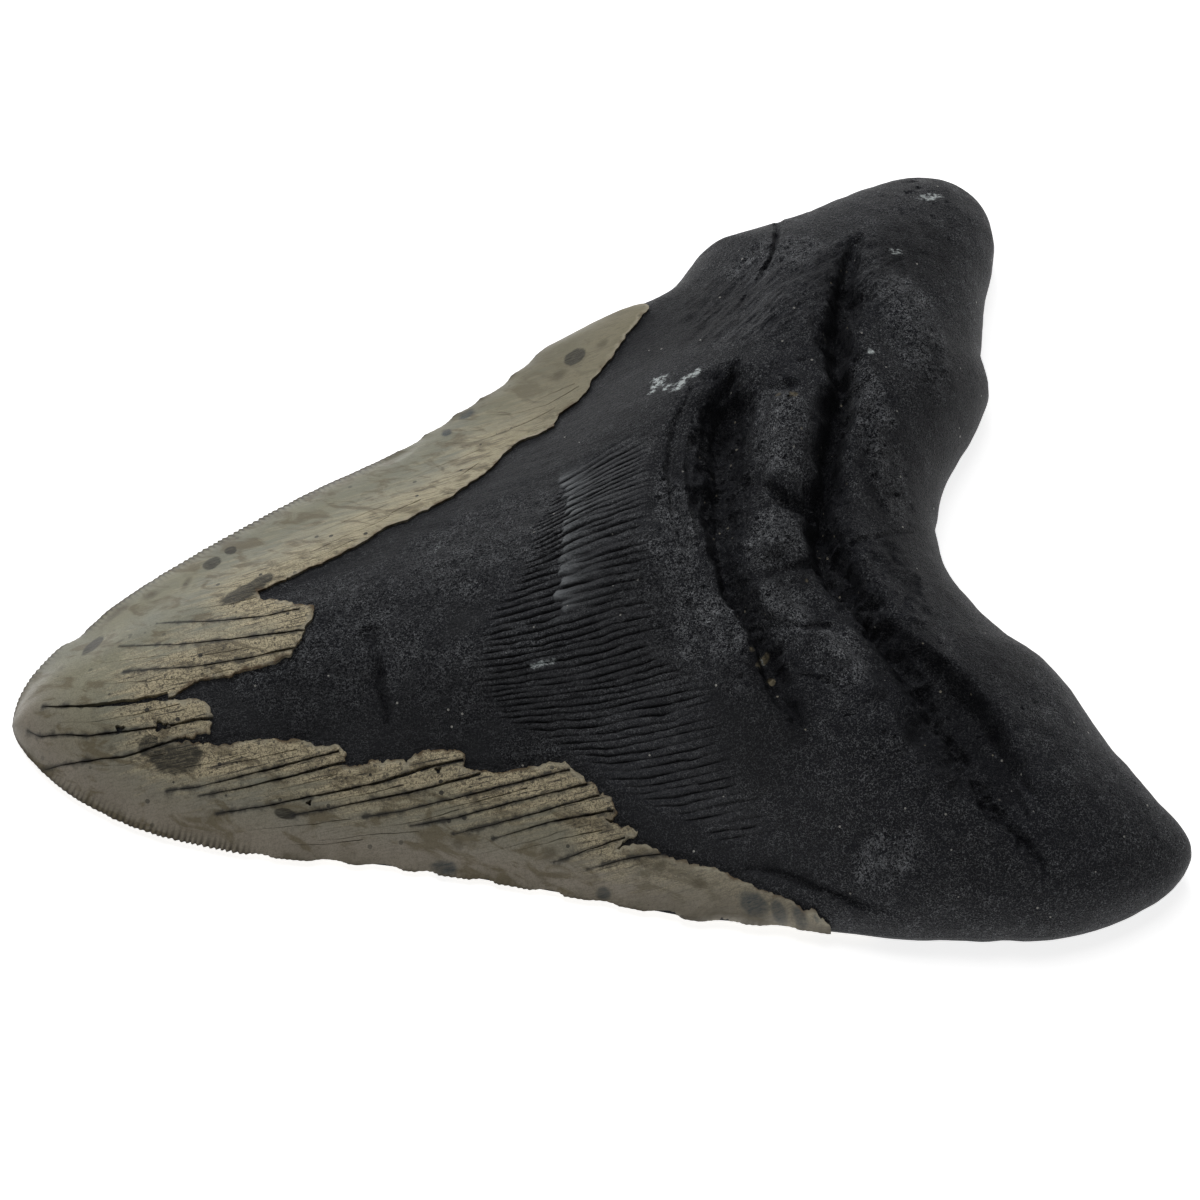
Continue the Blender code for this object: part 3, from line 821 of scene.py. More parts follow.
crown_part = smooth_step(28.0, 22.0, ground[..., 0])
centre_line = plan(U, np.full_like(V, 0.5))
towards_centre = centre_line - ground
reach = np.maximum(np.linalg.norm(towards_centre, axis=-1, keepdims=True), 1e-6)
inset = CORE_INSET * crown_part * np.exp(-rim_gap / INSET_REACH)
inset = np.minimum(inset, MOST_INSET * reach[..., 0])
nibbled = RIM_ROUGHNESS * (1 - crown_part) * np.exp(-rim_gap / NIBBLE_REACH)
nibble = paired(soft_noise(ground / NIBBLE_SIZE, 101), soft_noise(ground / NIBBLE_SIZE, 102))
body_plan = ground + towards_centre / reach * inset[..., None] + nibble * nibbled[..., None]
print("core pulled in by up to mm:", round(float(inset.max()), 2))


def lay_face(mesh, places, height, facing_down):
    """A grid of quads whose crossings go to the given places and heights."""
    rows, columns = height.shape
    made = bmesh.ops.create_grid(mesh, x_segments=rows - 1, y_segments=columns - 1, size=1.0)
    spots = np.concatenate([places - MIDDLE, height[..., None]], axis=-1) * MM
    for vert in made["verts"]:
        row = round((vert.co.x + 1) / 2 * (rows - 1))
        column = round((1 - vert.co.y) / 2 * (columns - 1))
        vert.co = spots[row, column]
    if facing_down:
        faces = {face for vert in made["verts"] for face in vert.link_faces}
        bmesh.ops.reverse_faces(mesh, faces=list(faces))


# %% Make the body
MERGE = 2e-6
MOST_TRIANGLES = 190_000

body_mesh = bmesh.new()
lay_face(body_mesh, body_plan, body_top, facing_down=False)
lay_face(body_mesh, body_plan, body_under, facing_down=True)
bmesh.ops.remove_doubles(body_mesh, verts=body_mesh.verts, dist=MERGE)
body = new_object("root_and_dentine", body_mesh)


def apply_modifiers(piece):
    """Leaves the piece with the mesh that its modifiers make."""
    graph = bpy.context.evaluated_depsgraph_get()
    done = bpy.data.meshes.new_from_object(piece.evaluated_get(graph))
    old = piece.data
    piece.modifiers.clear()
    piece.data = done
    done.name = piece.name
    bpy.data.meshes.remove(old)


def triangles_in(piece):
    """How many triangles the faces of a piece make."""
    return sum(len(face.vertices) - 2 for face in piece.data.polygons)


fine_share = MOST_TRIANGLES / triangles_in(body)
if fine_share < 1:
    thin_out = body.modifiers.new("fewer triangles where it is smooth", "DECIMATE")
    thin_out.ratio = fine_share
    thin_out.use_collapse_triangulate = True
    bpy.context.view_layer.update()
    apply_modifiers(body)
print("body's triangles:", triangles_in(body))

# %% [markdown]
# ## The enamel as one solid
#
# Enamel is a thin skin, so it could be an open sheet. A sheet shows no thickness where it has
# broken away, though. Here it starts as a solid with the tooth's whole outer shape, from the
# tip to past the crown. Everything that has flaked off is then cut out of it with Boolean
# modifiers, and the body, which lies inside, shows in the gaps.
#
# First come the tables of its wear: the serrations and chips of the cutting edges, and the
# line where it has broken away.

# %% Serrations and chips
SERRATION = 0.65
SERRATION_DEPTH = 0.34
NOTCH_POWER = 1.3
EDGE_WEAR = 0.05
FAR_SEED = 1.0
NEAR_SEED = 2.0
FAR_LENGTH = length_of(FAR_SIDE)
NEAR_LENGTH = length_of(NEAR_SIDE)

# How strongly the serrations are left along each edge, by mm from the tip.
FAR_SERRATED = [
    (0, 0.0), (3, 0.5), (10, 0.8), (12, 0.3), (16, 0.8), (40, 1.0), (52, 0.9), (56, 0.2), (90, 0.15),
]
NEAR_SERRATED = [(0, 0.0), (4, 0.2), (12, 0.9), (30, 1.0), (34, 0.4), (44, 0.3), (52, 0.5), (90, 0.2)]
# Chips out of the edges: mm from the tip, length and depth.
FAR_CHIPS = [
    (13.4, 3.0, 0.35), (57.5, 3.6, 0.40), (61.5, 4.0, 0.45), (65.6, 3.2, 0.35), (69.5, 4.4, 0.50),
    (74.0, 3.4, 0.35), (80.0, 5.0, 0.35), (86.0, 3.8, 0.30),
]
NEAR_CHIPS = [
    (33.0, 3.0, 0.30), (40.5, 4.2, 0.45), (46.0, 5.0, 0.50), (51.0, 2.6, 0.35), (57.0, 3.0, 0.40),
    (64.0, 3.6, 0.45), (70.0, 3.4, 0.35), (76.5, 4.2, 0.50), (83.0, 4.6, 0.45), (89.0, 4.0, 0.35),
]


def serration_at(run, seed):
    """The number of the serration at each run of mm from the tip, and how near a notch is."""
    share = run / SERRATION + 0.12 * np.sin(run * 1.9 + seed)
    number = np.floor(share)
    return number, np.abs(2 * (share - number) - 1)


def edge_bites(run, serrated, chips, seed):
    """How far the cutting edge is worn back, in mm, at each run of mm from the tip."""
    number, notch = serration_at(run, seed)
    uneven = 0.75 + 0.35 * np.sin(number * 12.7 + seed)
    strength = np.interp(run, *np.array(serrated, float).T)
    bite = SERRATION_DEPTH * uneven * strength * notch**NOTCH_POWER
    for centre, length, depth in chips:
        side = np.clip(np.abs(run - centre) / (length / 2), 0, 1)
        bite = bite + depth * (1 - side**2)
    return bite + EDGE_WEAR * (1 + soft_noise(paired(run / 1.1, run * 0.0), seed))


print("serrations on the far edge:", round(FAR_LENGTH / SERRATION))


# %% Lines of the enamel's grid
ENAMEL_END = 0.745
LINES_A_TOOTH = 4
ENAMEL_ACROSS = 150
UNDER_ACROSS = 40
enamel_lines = round(ENAMEL_END * FAR_LENGTH / SERRATION * LINES_A_TOOTH)
enamel_u = np.linspace(0, ENAMEL_END, enamel_lines + 1)
enamel_v = graded(ENAMEL_ACROSS, [
    (0, 6.0), (0.02, 4.0), (0.05, 2.0), (0.30, 1.6), (0.36, 0.7), (0.58, 0.7), (0.66, 1.7),
    (0.95, 2.0), (0.98, 4.0), (1, 6.0),
])
under_v = graded(UNDER_ACROSS, [(0, 5.0), (0.1, 1.4), (0.5, 0.7), (0.9, 1.4), (1, 5.0)])
print("enamel grid:", len(enamel_u), "by", len(enamel_v), "and", len(under_v))


# %% Where the enamel has broken away
ENAMEL_EDGE = [
    (15.5, 43.0), (17.4, 39.6), (18.9, 38.5), (19.4, 37.6), (18.6, 36.7), (17.8, 35.8),
    (16.3, 34.4), (14.2, 32.2), (12.1, 30.2), (10.9, 29.2), (9.8, 27.6), (8.6, 26.6),
    (6.1, 25.6), (5.1, 23.7), (2.3, 23.3), (0.3, 22.9), (-1.2, 21.6), (-2.8, 19.7),
    (-4.4, 18.8), (-6.7, 17.6), (-8.4, 16.6), (-10.3, 16.1), (-12.9, 15.1), (-15.7, 14.8),
    (-19.0, 12.8), (-21.8, 12.0), (-24.6, 11.4), (-25.9, 10.9), (-28.3, 10.6),
    (-30.8, 9.9), (-30.5, 8.5), (-28.9, 7.5), (-27.7, 6.4), (-25.5, 5.2), (-25.6, 4.0),
    (-26.6, 3.0), (-27.6, 1.2), (-28.8, 0.0), (-31.6, -0.4), (-35.7, -0.3), (-39.2, 0.0),
    (-41.4, -0.55), (-43.4, -0.75), (-40.8, -1.5), (-39.0, -2.2), (-38.4, -3.2), (-38.5, -4.6),
    (-39.3, -5.6), (-41.6, -5.2), (-43.6, -5.0), (-40.0, -6.3), (-36.6, -7.1), (-33.2, -7.7),
    (-30.1, -8.4), (-28.1, -9.6), (-26.1, -10.2), (-25.1, -11.3), (-25.4, -12.4), (-21.6, -12.5),
    (-19.4, -13.2), (-17.7, -13.0), (-14.5, -13.5), (-13.1, -14.5), (-13.4, -15.5),
    (-12.7, -16.0), (-10.7, -16.8), (-6.1, -17.5), (-3.2, -17.9), (-2.5, -18.8), (-0.8, -20.6),
    (0.8, -22.4), (1.3, -23.7), (0.1, -24.2), (1.3, -25.2), (3.1, -26.0), (0.6, -26.7),
    (3.5, -27.4), (4.9, -28.5), (6.3, -29.7), (8.4, -31.1), (10.4, -32.4), (12.6, -34.5),
    (15.2, -36.8), (16.8, -38.0), (17.9, -39.1), (19.2, -39.9), (20.3, -40.9), (20.6, -42.4),
    (21.0, -46.0),
]
EDGE_JAG = 0.16
JAG_SIZE = 0.9
JAG_STEP = 0.22
# Places where the break is more ragged: x, y, reach along and across.
CRUMBLED = [(-43.0, -5.5, 9.0, 3.0), (-20.0, -12.5, 9.0, 2.0), (1.0, -23.0, 4.0, 5.0)]


def jagged(line, size, seed):
    """A line whose points wander a little to either side, more where the enamel crumbled."""
    line = densely(line, JAG_STEP)
    size = size * (1 + 1.1 * in_patches(line, CRUMBLED))[:, None]
    aside = (rough(line / JAG_SIZE, each, layers=3, fall=0.7) for each in (seed, seed + 5))
    return line + size * paired(*aside)


BREAK_LINE = jagged(ENAMEL_EDGE, EDGE_JAG, 120)
print("break line in mm:", round(length_of(BREAK_LINE)))


# %% The enamel's solid
# Each scar is its centre's x and y, reach along and across, turn in degrees, and depth.
FLAKE_SCARS = [
    (-0.6, 29.2, 5.6, 3.0, -12, 0.22), (5.2, 30.6, 4.6, 2.6, 2, 0.18),
    (-1.8, -32.6, 2.6, 1.6, -24, 0.30), (-17.6, -25.0, 2.4, 1.2, -24, 0.25),
    (13.0, -37.0, 4.0, 1.8, -22, 0.30), (19.0, -40.6, 3.0, 1.4, -18, 0.30),
    (-12.0, 27.6, 2.6, 1.1, 22, 0.20), (-8.0, -29.0, 3.0, 1.2, -22, 0.22),
]
LIP_DROP = 0.20
LIP_REACH = 0.45
BITE_REACH = 0.9
THINNING = 2.6
ENAMEL_SWELLS = (0.035, (4.0, 4.0), 141, 3, 0.5)
UNDER_ENAMEL_SWELLS = (0.02, (2.5, 2.5), 140, 2, 0.5)


def scars(points):
    """Depth of the shallow curved scars that flakes have left beside the cutting edges."""
    depth = np.zeros(points.shape[:-1])
    for x, y, long_side, short_side, turn, deep in FLAKE_SCARS:
        angle = math.radians(turn)
        dx, dy = points[..., 0] - x, points[..., 1] - y
        along = (dx * math.cos(angle) + dy * math.sin(angle)) / long_side
        across = (dy * math.cos(angle) - dx * math.sin(angle)) / short_side
        depth = np.maximum(depth, deep * np.clip(1 - along**2 - across**2, 0, 1))
    return depth


def worn_back(u, v):
    """The places of the enamel's grid, with both cutting edges worn back by their bites."""
    width = np.maximum(width_at(u), 1.0)
    far = edge_bites(u * FAR_LENGTH, FAR_SERRATED, FAR_CHIPS, FAR_SEED)
    near = edge_bites(u * NEAR_LENGTH, NEAR_SERRATED, NEAR_CHIPS, NEAR_SEED)
    from_far = far / width * np.exp(-v * width / BITE_REACH)
    from_near = near / width * np.exp(-(1 - v) * width / BITE_REACH)
    return plan(u, np.clip(v + (from_far - from_near), 0, 1))


def enamel_face(lines_v, top):
    """Places and heights of one face of the enamel's solid."""
    u, v = np.meshgrid(enamel_u, lines_v, indexing="ij")
    plain = plan(u, v)
    gap = distance_to(RIM_LOOP, plain)
    gap[(v == 0) | (v == 1) | (u == 0)] = 0.0
    places = worn_back(u, v)
    off = smooth_step(0.0, 1.0, gap)
    if not top:
        swells = UNDER_ENAMEL_SWELLS[0] + layered(plain, UNDER_ENAMEL_SWELLS)
        return places, under_height(u, plain, gap) + swells * off
    thinned = 1 - np.clip(gap / ENAMEL_THINS_OVER, 0, 1)
    height = dome_height(u, v) + ENAMEL * (1 - thinned**THINNING)
    height = height - scars(places) * off + layered(plain, ENAMEL_SWELLS) * off
    lip = distance_to(BREAK_LINE, places)
    return places, height - LIP_DROP * np.exp(-((lip / LIP_REACH) ** 2))


enamel_mesh = bmesh.new()
lay_face(enamel_mesh, *enamel_face(enamel_v, top=True), facing_down=False)
lay_face(enamel_mesh, *enamel_face(under_v, top=False), facing_down=True)
bmesh.ops.remove_doubles(enamel_mesh, verts=enamel_mesh.verts, dist=MERGE)
open_end = [edge for edge in enamel_mesh.edges if edge.is_boundary]
closed_end = bmesh.ops.holes_fill(enamel_mesh, edges=open_end, sides=0)
bmesh.ops.triangulate(enamel_mesh, faces=closed_end["faces"])
still_open = sum(edge.is_boundary for edge in enamel_mesh.edges)
enamel = new_object("enamel", enamel_mesh)
print("enamel solid:", triangles_in(enamel), "triangles; open edges left:", still_open)

# %% [markdown]
# ## Cracks
#
# The enamel has split along the tooth into narrow strips, with the black dentine showing in
# the gaps. Each crack is a thin blade, pointed at its far end, that stands upright and is cut
# out. The table gives its greatest width and its course.

# %% Courses of the cracks
CRACKS = [
    (0.22, [(-42.2, 9.8), (-38.6, 8.3), (-35.5, 7.1), (-30.9, 5.7), (-27.0, 5.2)]),
    (0.24, [(-46.6, 8.0), (-43.6, 6.7), (-40.7, 5.4), (-34.9, 3.8), (-26.6, 2.2)]),
    (0.20, [(-46.8, 3.9), (-43.0, 2.8), (-39.7, 1.8), (-33.9, 0.9), (-28.0, 0.5)]),
    (0.75, [(-55.9, 3.0), (-54.4, 2.3), (-50.2, 0.8), (-46.0, -0.2), (-42.6, -0.7)]),
    (0.34, [
        (-58.0, 1.3), (-56.7, 0.0), (-54.0, -1.0), (-51.7, -2.0), (-47.7, -2.9), (-43.4, -3.7), (-38.2, -4.2),
    ]),
    (0.30, [(-57.3, -2.7), (-53.5, -3.9), (-48.4, -5.1), (-45.4, -5.2), (-42.6, -5.15)]),
    (0.10, [(-54.5, 0.4), (-50.6, -0.9), (-46.4, -1.6), (-41.5, -1.9)]),
    (0.09, [(-49.8, 3.4), (-45.2, 1.9), (-40.6, 0.7)]),
    (0.08, [(-44.2, 4.7), (-39.2, 3.0), (-33.2, 2.1)]),
    (0.10, [(-38.6, 10.4), (-34.0, 9.2), (-31.2, 9.0)]),
    (0.26, [(-44.7, -9.5), (-41.3, -10.1), (-36.2, -10.4), (-31.1, -10.6), (-26.0, -10.7)]),
    (0.32, [(-41.5, -10.9), (-36.6, -11.5), (-31.6, -11.7), (-27.5, -11.8), (-25.0, -11.9)]),
    (0.10, [(-39.6, -8.7), (-35.0, -9.2), (-30.4, -9.5)]),
    (0.36, [(-39.9, -13.0), (-34.4, -13.7), (-29.0, -14.1), (-22.3, -14.6), (-17.4, -14.6), (-13.4, -14.9)]),
    (0.30, [(-32.2, -15.2), (-24.7, -15.8), (-19.6, -16.3), (-14.4, -16.5), (-11.9, -16.6)]),
    (0.10, [(-28.4, -14.9), (-24.2, -15.2), (-20.0, -15.5)]),
    (0.20, [(-24.9, -17.2), (-20.6, -17.7), (-16.7, -17.9), (-9.2, -18.4), (-2.7, -18.8)]),
    (0.24, [(-20.4, -19.2), (-15.6, -19.7), (-10.9, -19.9), (-5.6, -20.2), (-1.2, -20.6)]),
    (0.12, [(-18.2, -18.5), (-12.8, -18.9), (-7.4, -19.2)]),
    (0.22, [(-16.0, -21.1), (-10.2, -21.4), (-4.8, -21.6), (-0.2, -21.9)]),
    (0.28, [(-12.1, -22.6), (-6.0, -22.7), (-2.4, -23.1), (0.9, -23.6)]),
    (0.12, [(-9.6, -24.3), (-4.4, -24.5), (-0.6, -24.9)]),
    (0.18, [(-6.2, -26.4), (-2.2, -26.2), (1.6, -26.2)]),
    (0.16, [(-3.0, -28.0), (1.4, -28.1), (5.8, -29.0)]),
    (0.09, [(-30.2, -18.2), (-24.6, -18.9), (-19.4, -19.9)]),
    (0.08, [(-36.8, -15.4), (-31.0, -16.4), (-26.2, -17.0)]),
    (0.10, [(-10.6, 19.9), (-5.9, 20.3), (-3.9, 21.4)]),
    (0.12, [(-17.2, 15.9), (-13.2, 17.4), (-11.2, 17.8)]),
    (0.08, [(-20.4, 14.9), (-16.0, 15.9), (-15.0, 16.4)]),
    (0.09, [(-28.0, 12.0), (-22.4, 12.9), (-19.0, 13.9)]),
    (0.08, [(-31.0, 12.6), (-25.0, 13.6), (-20.0, 15.0)]),
    (0.10, [(-6.7, 27.6), (-5.4, 26.4), (-3.0, 25.6), (0.0, 25.7), (3.2, 26.3), (6.0, 27.0)]),
    (0.09, [(-1.2, 30.0), (1.6, 28.6), (5.2, 28.2), (9.2, 29.1)]),
    (0.08, [(3.6, 29.4), (6.2, 30.0), (8.9, 29.9)]),
    (0.07, [(-49.0, 6.4), (-45.2, 5.2), (-41.6, 4.2)]),
    (0.07, [(-52.6, -4.6), (-48.6, -5.9), (-44.0, -6.1)]),
    (0.08, [(-45.0, -7.4), (-40.4, -8.3), (-35.6, -8.5)]),
    (0.07, [(-43.0, 0.6), (-39.0, 0.5), (-35.2, 0.2)]),
    (0.08, [(-34.6, -12.4), (-30.6, -12.7), (-26.6, -12.8)]),
    (0.07, [(-33.8, -17.6), (-29.6, -18.6), (-25.4, -19.2)]),
    (0.08, [(-24.0, -18.4), (-19.4, -19.0), (-14.8, -19.1)]),
    (0.07, [(-14.0, -23.6), (-9.0, -23.8), (-4.0, -23.9)]),
    (0.07, [(-26.0, 16.6), (-20.6, 17.6), (-14.8, 18.8)]),
    (0.06, [(-14.0, 22.0), (-8.8, 23.2), (-3.2, 24.0)]),
]
# Bits that fell out right through to the dentine: x, y, radius.
LOST_BITS = [
    (-48.3, -2.45, 0.42), (-44.0, -3.5, 0.50), (-43.3, -3.75, 0.3), (-37.9, -3.2, 0.3),
    (-30.2, -14.5, 0.25), (-16.2, -15.1, 0.3),
]
print("cracks:", len(CRACKS), "and lost bits:", len(LOST_BITS))

# %% Outlines of the cutters
BLADE_LOW = 1.3
BLADE_TOP = 40.0
BLADE_STEP = 0.35
POINT_WIDTH = 0.10
UNEVEN_WIDTH = 0.45
BLADE_WANDER = 0.06
BIT_CORNERS = 14
FIRST_SEED = 160


def blade_loop(course, width, seed):
    """The outline of one thin blade: pointed at its first end, widest near its last."""
    line = densely(course, BLADE_STEP)
    heading = np.gradient(line, axis=0)
    heading = heading / np.linalg.norm(heading, axis=1)[:, None]
    sideways = np.stack([-heading[:, 1], heading[:, 0]], axis=1)
    share = np.linspace(0, 1, len(line))
    half = 0.5 * width * (POINT_WIDTH + 0.90 * share**0.8)
    half = half * (1 + UNEVEN_WIDTH * soft_noise(line / 0.7, seed))
    half[0] = 0.01
    middle = line + sideways * (BLADE_WANDER * soft_noise(line / 1.3, seed + 1))[:, None]
    ahead = middle + sideways * half[:, None]
    back = middle - sideways * half[:, None]
    return np.concatenate([ahead, back[::-1]])


def bit_loop(x, y, radius, seed):
    """The outline of one lost bit, like a blunt triangle."""
    turn = np.linspace(0, 2 * math.pi, BIT_CORNERS, endpoint=False)
    reach = radius * (1 + 0.35 * np.cos(3 * turn + seed) + 0.12 * np.sin(7 * turn))
    return paired(x + 1.2 * reach * np.cos(turn), y + reach * np.sin(turn))


loops = [blade_loop(course, width, FIRST_SEED + i) for i, (width, course) in enumerate(CRACKS)]
loops += [bit_loop(*bit, seed) for seed, bit in enumerate(LOST_BITS)]
print("outlines:", len(loops), "with corners in all:", sum(len(loop) for loop in loops))

# %% The cutters
FAR_AWAY = 90.0
BELOW_ALL = -5.0
OVERLAP = 0.05
BLADE_SETS = 3
ARC_HALF = 60.0
ARC_CORNERS = 400
ARC_JAG = 0.25
ARC_JAG_SIZE = 1.6


def add_prism(mesh, loop, low, high):
    """An upright solid over a loop of places."""
    verts = [mesh.verts.new((x * MM, y * MM, low * MM)) for x, y in loop - MIDDLE]
    base = mesh.faces.new(verts)
    raised_part = bmesh.ops.extrude_face_region(mesh, geom=[base])
    lifted = [item for item in raised_part["geom"] if isinstance(item, bmesh.types.BMVert)]
    bmesh.ops.translate(mesh, verts=lifted, vec=(0, 0, (high - low) * MM))


def cutter(name, prisms):
    """A hidden object of upright prisms, each given as its loop, low and high."""
    mesh = bmesh.new()
    for prism in prisms:
        add_prism(mesh, *prism)
    bmesh.ops.recalc_face_normals(mesh, faces=mesh.faces)
    made = new_object(name, mesh)
    made.hide_render = True
    return made


bare_corners = [(21.0, -FAR_AWAY), (FAR_AWAY, -FAR_AWAY), (FAR_AWAY, FAR_AWAY), (15.5, FAR_AWAY)]
bare_loop = np.concatenate([BREAK_LINE, np.array(bare_corners)])
arc_y = np.linspace(-ARC_HALF, ARC_HALF, ARC_CORNERS)
arc = np.stack([OUTER_ENAMEL_END + OUTER_ENAMEL_ARC * arc_y**2, arc_y], axis=1)
arc = arc + ARC_JAG * paired(*(rough(arc / ARC_JAG_SIZE, seed, layers=3) for seed in (150, 155)))
root_loop = np.concatenate([arc, np.array([(FAR_AWAY, ARC_HALF), (FAR_AWAY, -ARC_HALF)])])
upright = [(loop, BLADE_LOW, BLADE_TOP) for loop in loops]
cutters = [
    cutter("bare_part", [(bare_loop, BLADE_LOW, BLADE_TOP)]),
    cutter("root_part", [(root_loop, BELOW_ALL, BLADE_LOW + OVERLAP)]),
]
# Neighbouring blades go to different cutters, as blades that overlap in one would spoil it.
for first in range(BLADE_SETS):
    cutters.append(cutter(f"crack_blades_{first}", upright[first::BLADE_SETS]))
print("cutters:", [tool.name for tool in cutters])

# %% Cut the enamel
for tool in cutters:
    cut = enamel.modifiers.new("cut away " + tool.name, "BOOLEAN")
    cut.operation = "DIFFERENCE"
    cut.solver = "MANIFOLD"
    cut.object = tool
bpy.context.view_layer.update()
apply_modifiers(enamel)
for tool in cutters:
    blank = tool.data
    bpy.data.objects.remove(tool, do_unlink=True)
    bpy.data.meshes.remove(blank)
print("enamel's triangles:", triangles_in(enamel))

# %% [markdown]
# ## Facts that the materials need
#
# A stain or a worn lip follows the break in the enamel, and no noise texture knows where that
# is. So each piece carries a few named attributes: numbers from 0 to 1 on its points, such as
# how near the break is. They are worked out from the same tables as the shape.

# %% Helpers for attributes
def read(piece, what):
    """One vector per point of the piece: its place, or the way it faces."""
    flat = np.empty(len(piece.data.vertices) * 3)
    piece.data.vertices.foreach_get(what, flat)
    return flat.reshape(-1, 3)


def store(piece, name, values):
    """Keeps one number from 0 to 1 per point on the piece."""
    layer = piece.data.attributes.new(name, "FLOAT", "POINT")
    layer.data.foreach_set("value", np.clip(values, 0, 1).astype(np.float32))


def points_of(piece):
    """The piece's points in mm, in the outline's own places."""
    return read(piece, "co") / MM + np.array([*MIDDLE, 0.0])


print("points of the body and the enamel:", len(points_of(body)), len(points_of(enamel)))

# %% Attributes of the body
FULL_GROOVE = 4.4
FULL_HOLLOW = 3.8
DARK_SHARE = 0.75
# Where bone takes over from dentine: along the inner face, and in mm on the outer one.
BONE_ABOVE_FROM = 0.63
BONE_ABOVE_FULL = 0.76
BONE_BELOW_FROM = 18
BONE_BELOW_OVER = 6

body_ground = points_of(body)[:, :2]
faces_up = read(body, "normal")[:, 2] > 0
grid_tree = search_tree(ground.reshape(-1, 2))
nearest = np.array([grid_tree.find((x, y, 0.0))[1] for x, y in body_ground.tolist()])
# The groove share paints shade into the grooves, hollows and deep places, and also tells where silt lies.
groove_depth = np.maximum(*(carved(course, body_ground, False) for course in GROOVES))
hollow_depth = carved(SOFT_HOLLOWS["outer hollow"], body_ground, True)
groove_depth = np.maximum(groove_depth / FULL_GROOVE, hollow_depth / FULL_HOLLOW)
groove_depth = np.maximum(groove_depth, DARK_SHARE * in_patches(body_ground, DEEP_SHADE_PLACES))
store(body, "groove", groove_depth * faces_up)

bone_above = smooth_step(BONE_ABOVE_FROM, BONE_ABOVE_FULL, U.reshape(-1)[nearest])
bone_below = smooth_step(0, BONE_BELOW_OVER, body_ground[:, 0] - BONE_BELOW_FROM)
store(body, "bone", np.where(faces_up, bone_above, bone_below))
# The valleys carry painted shade, the finger tips a painted highlight, the shaded places painted shade, and
# the pocked places partly a painted highlight.
for name, on_grid in (("wrinkled", wrinkled), ("valley", valleys), ("tip_highlight", highlit_finger_tips)):
    store(body, name, on_grid.reshape(-1)[nearest] * faces_up)
for name, patches in (("pocked", POCKED), ("shaded", SHADED), ("slanted", SLANTED)):
    store(body, name, in_patches(body_ground, patches) * faces_up)
print("attributes of the body:", len(body.data.attributes))

# %% Attributes of the enamel
FAR_FROM_ANY = 9.0
LEAST_SOOTY = 0.15
# How far from a break, a lip, a crack, an edge and a notch its mark reaches, in mm.
BREAK_MARK = 4.5
LIP_MARK = 0.45
CRACK_MARK = 0.30
EDGE_MARK = 1.2
NOTCH_MARK = 0.9
NEAR_SIDE_MARK = 5.0
NOTCH_STEP = 0.05

enamel_points = points_of(enamel)
enamel_ground = enamel_points[:, :2]
on_top = enamel_points[:, 2] > BLADE_LOW
to_break = np.where(on_top, distance_to(BREAK_LINE, enamel_ground), np.abs(past_arc(enamel_ground)))
to_crack = np.full(len(enamel_ground), FAR_FROM_ANY)
for width, course in CRACKS:
    if width > LEAST_SOOTY:
        to_crack = np.minimum(to_crack, distance_to(course, enamel_ground))
to_crack = np.where(on_top, to_crack, FAR_FROM_ANY)
store(enamel, "near_break", np.exp(-to_break / BREAK_MARK))
store(enamel, "lip", np.exp(-to_break / LIP_MARK))
store(enamel, "near_crack", np.exp(-to_crack / CRACK_MARK))
store(enamel, "near_edge", np.exp(-distance_to(RIM_LOOP, enamel_ground) / EDGE_MARK))
store(enamel, "near_side", np.exp(-distance_to(NEAR_SIDE, enamel_ground) / NEAR_SIDE_MARK))

# The notches get painted shade in the enamel's finish.
notches = np.zeros(len(enamel_ground))
for side, serrated, seed in ((FAR_SIDE, FAR_SERRATED, FAR_SEED), (NEAR_SIDE, NEAR_SERRATED, NEAR_SEED)):
    tree = search_tree(densely(side, NOTCH_STEP))
    number, gap = np.array([tree.find((x, y, 0.0))[1:] for x, y in enamel_ground.tolist()]).T
    run = number * NOTCH_STEP
    left = np.interp(run, *np.array(serrated, float).T)
    notches = np.maximum(notches, left * serration_at(run, seed)[1] * np.exp(-gap / NOTCH_MARK))
store(enamel, "notch", notches)
print("attributes of the enamel:", len(enamel.data.attributes))

# %% [markdown]
# ## Short words for material nodes
#
# A material is a tree of nodes. It could be wired by hand in the editor, but a finish of a
# hundred nodes is easier to read as text. These helpers add one node each, fill its sockets
# and hand back its output. A socket knows its own tree, so most helpers need no other word.

# %% Node helpers
def fill(socket, value):
    """Links a socket to another node's output, or gives it a value or a colour of its own."""
    if isinstance(value, bpy.types.NodeSocket):
        socket.id_data.links.new(value, socket)
    elif socket.type == "RGBA":
        socket.default_value = (*value, 1.0)
    else:
        socket.default_value = value


def add_node(tree, kind, sockets, **settings):
    """Adds a node with its settings, then fills the sockets that are given."""
    made = tree.nodes.new(kind)
    for name, value in settings.items():
        setattr(made, name, value)
    for name, value in sockets.items():
        fill(made.inputs[name], value)
    return made


def tree_of(*values):
    """The tree that holds the first value that comes from a node."""
    return next(value.id_data for value in values if isinstance(value, bpy.types.NodeSocket))


def maths(operation, a, b):
    """One sum of two numbers."""
    return add_node(tree_of(a, b), "ShaderNodeMath", {0: a, 1: b}, operation=operation).outputs[0]


times, plus, minus, most = (
    functools.partial(maths, word) for word in ("MULTIPLY", "ADD", "SUBTRACT", "MAXIMUM")
)


def remap(value, low, high, to_low=0.0, to_high=1.0):
    """A value stretched from one range to another, and kept inside it."""
    sockets = {"Value": value, "From Min": low, "From Max": high, "To Min": to_low, "To Max": to_high}
    return add_node(tree_of(value), "ShaderNodeMapRange", sockets, clamp=True).outputs["Result"]


def blend(share, under, over):
    """One colour over another by a share from 0 to 1. Sockets 6 and 7 are the colours."""
    sockets = {0: share, 6: under, 7: over}
    return add_node(tree_of(share), "ShaderNodeMix", sockets, data_type="RGBA").outputs[2]


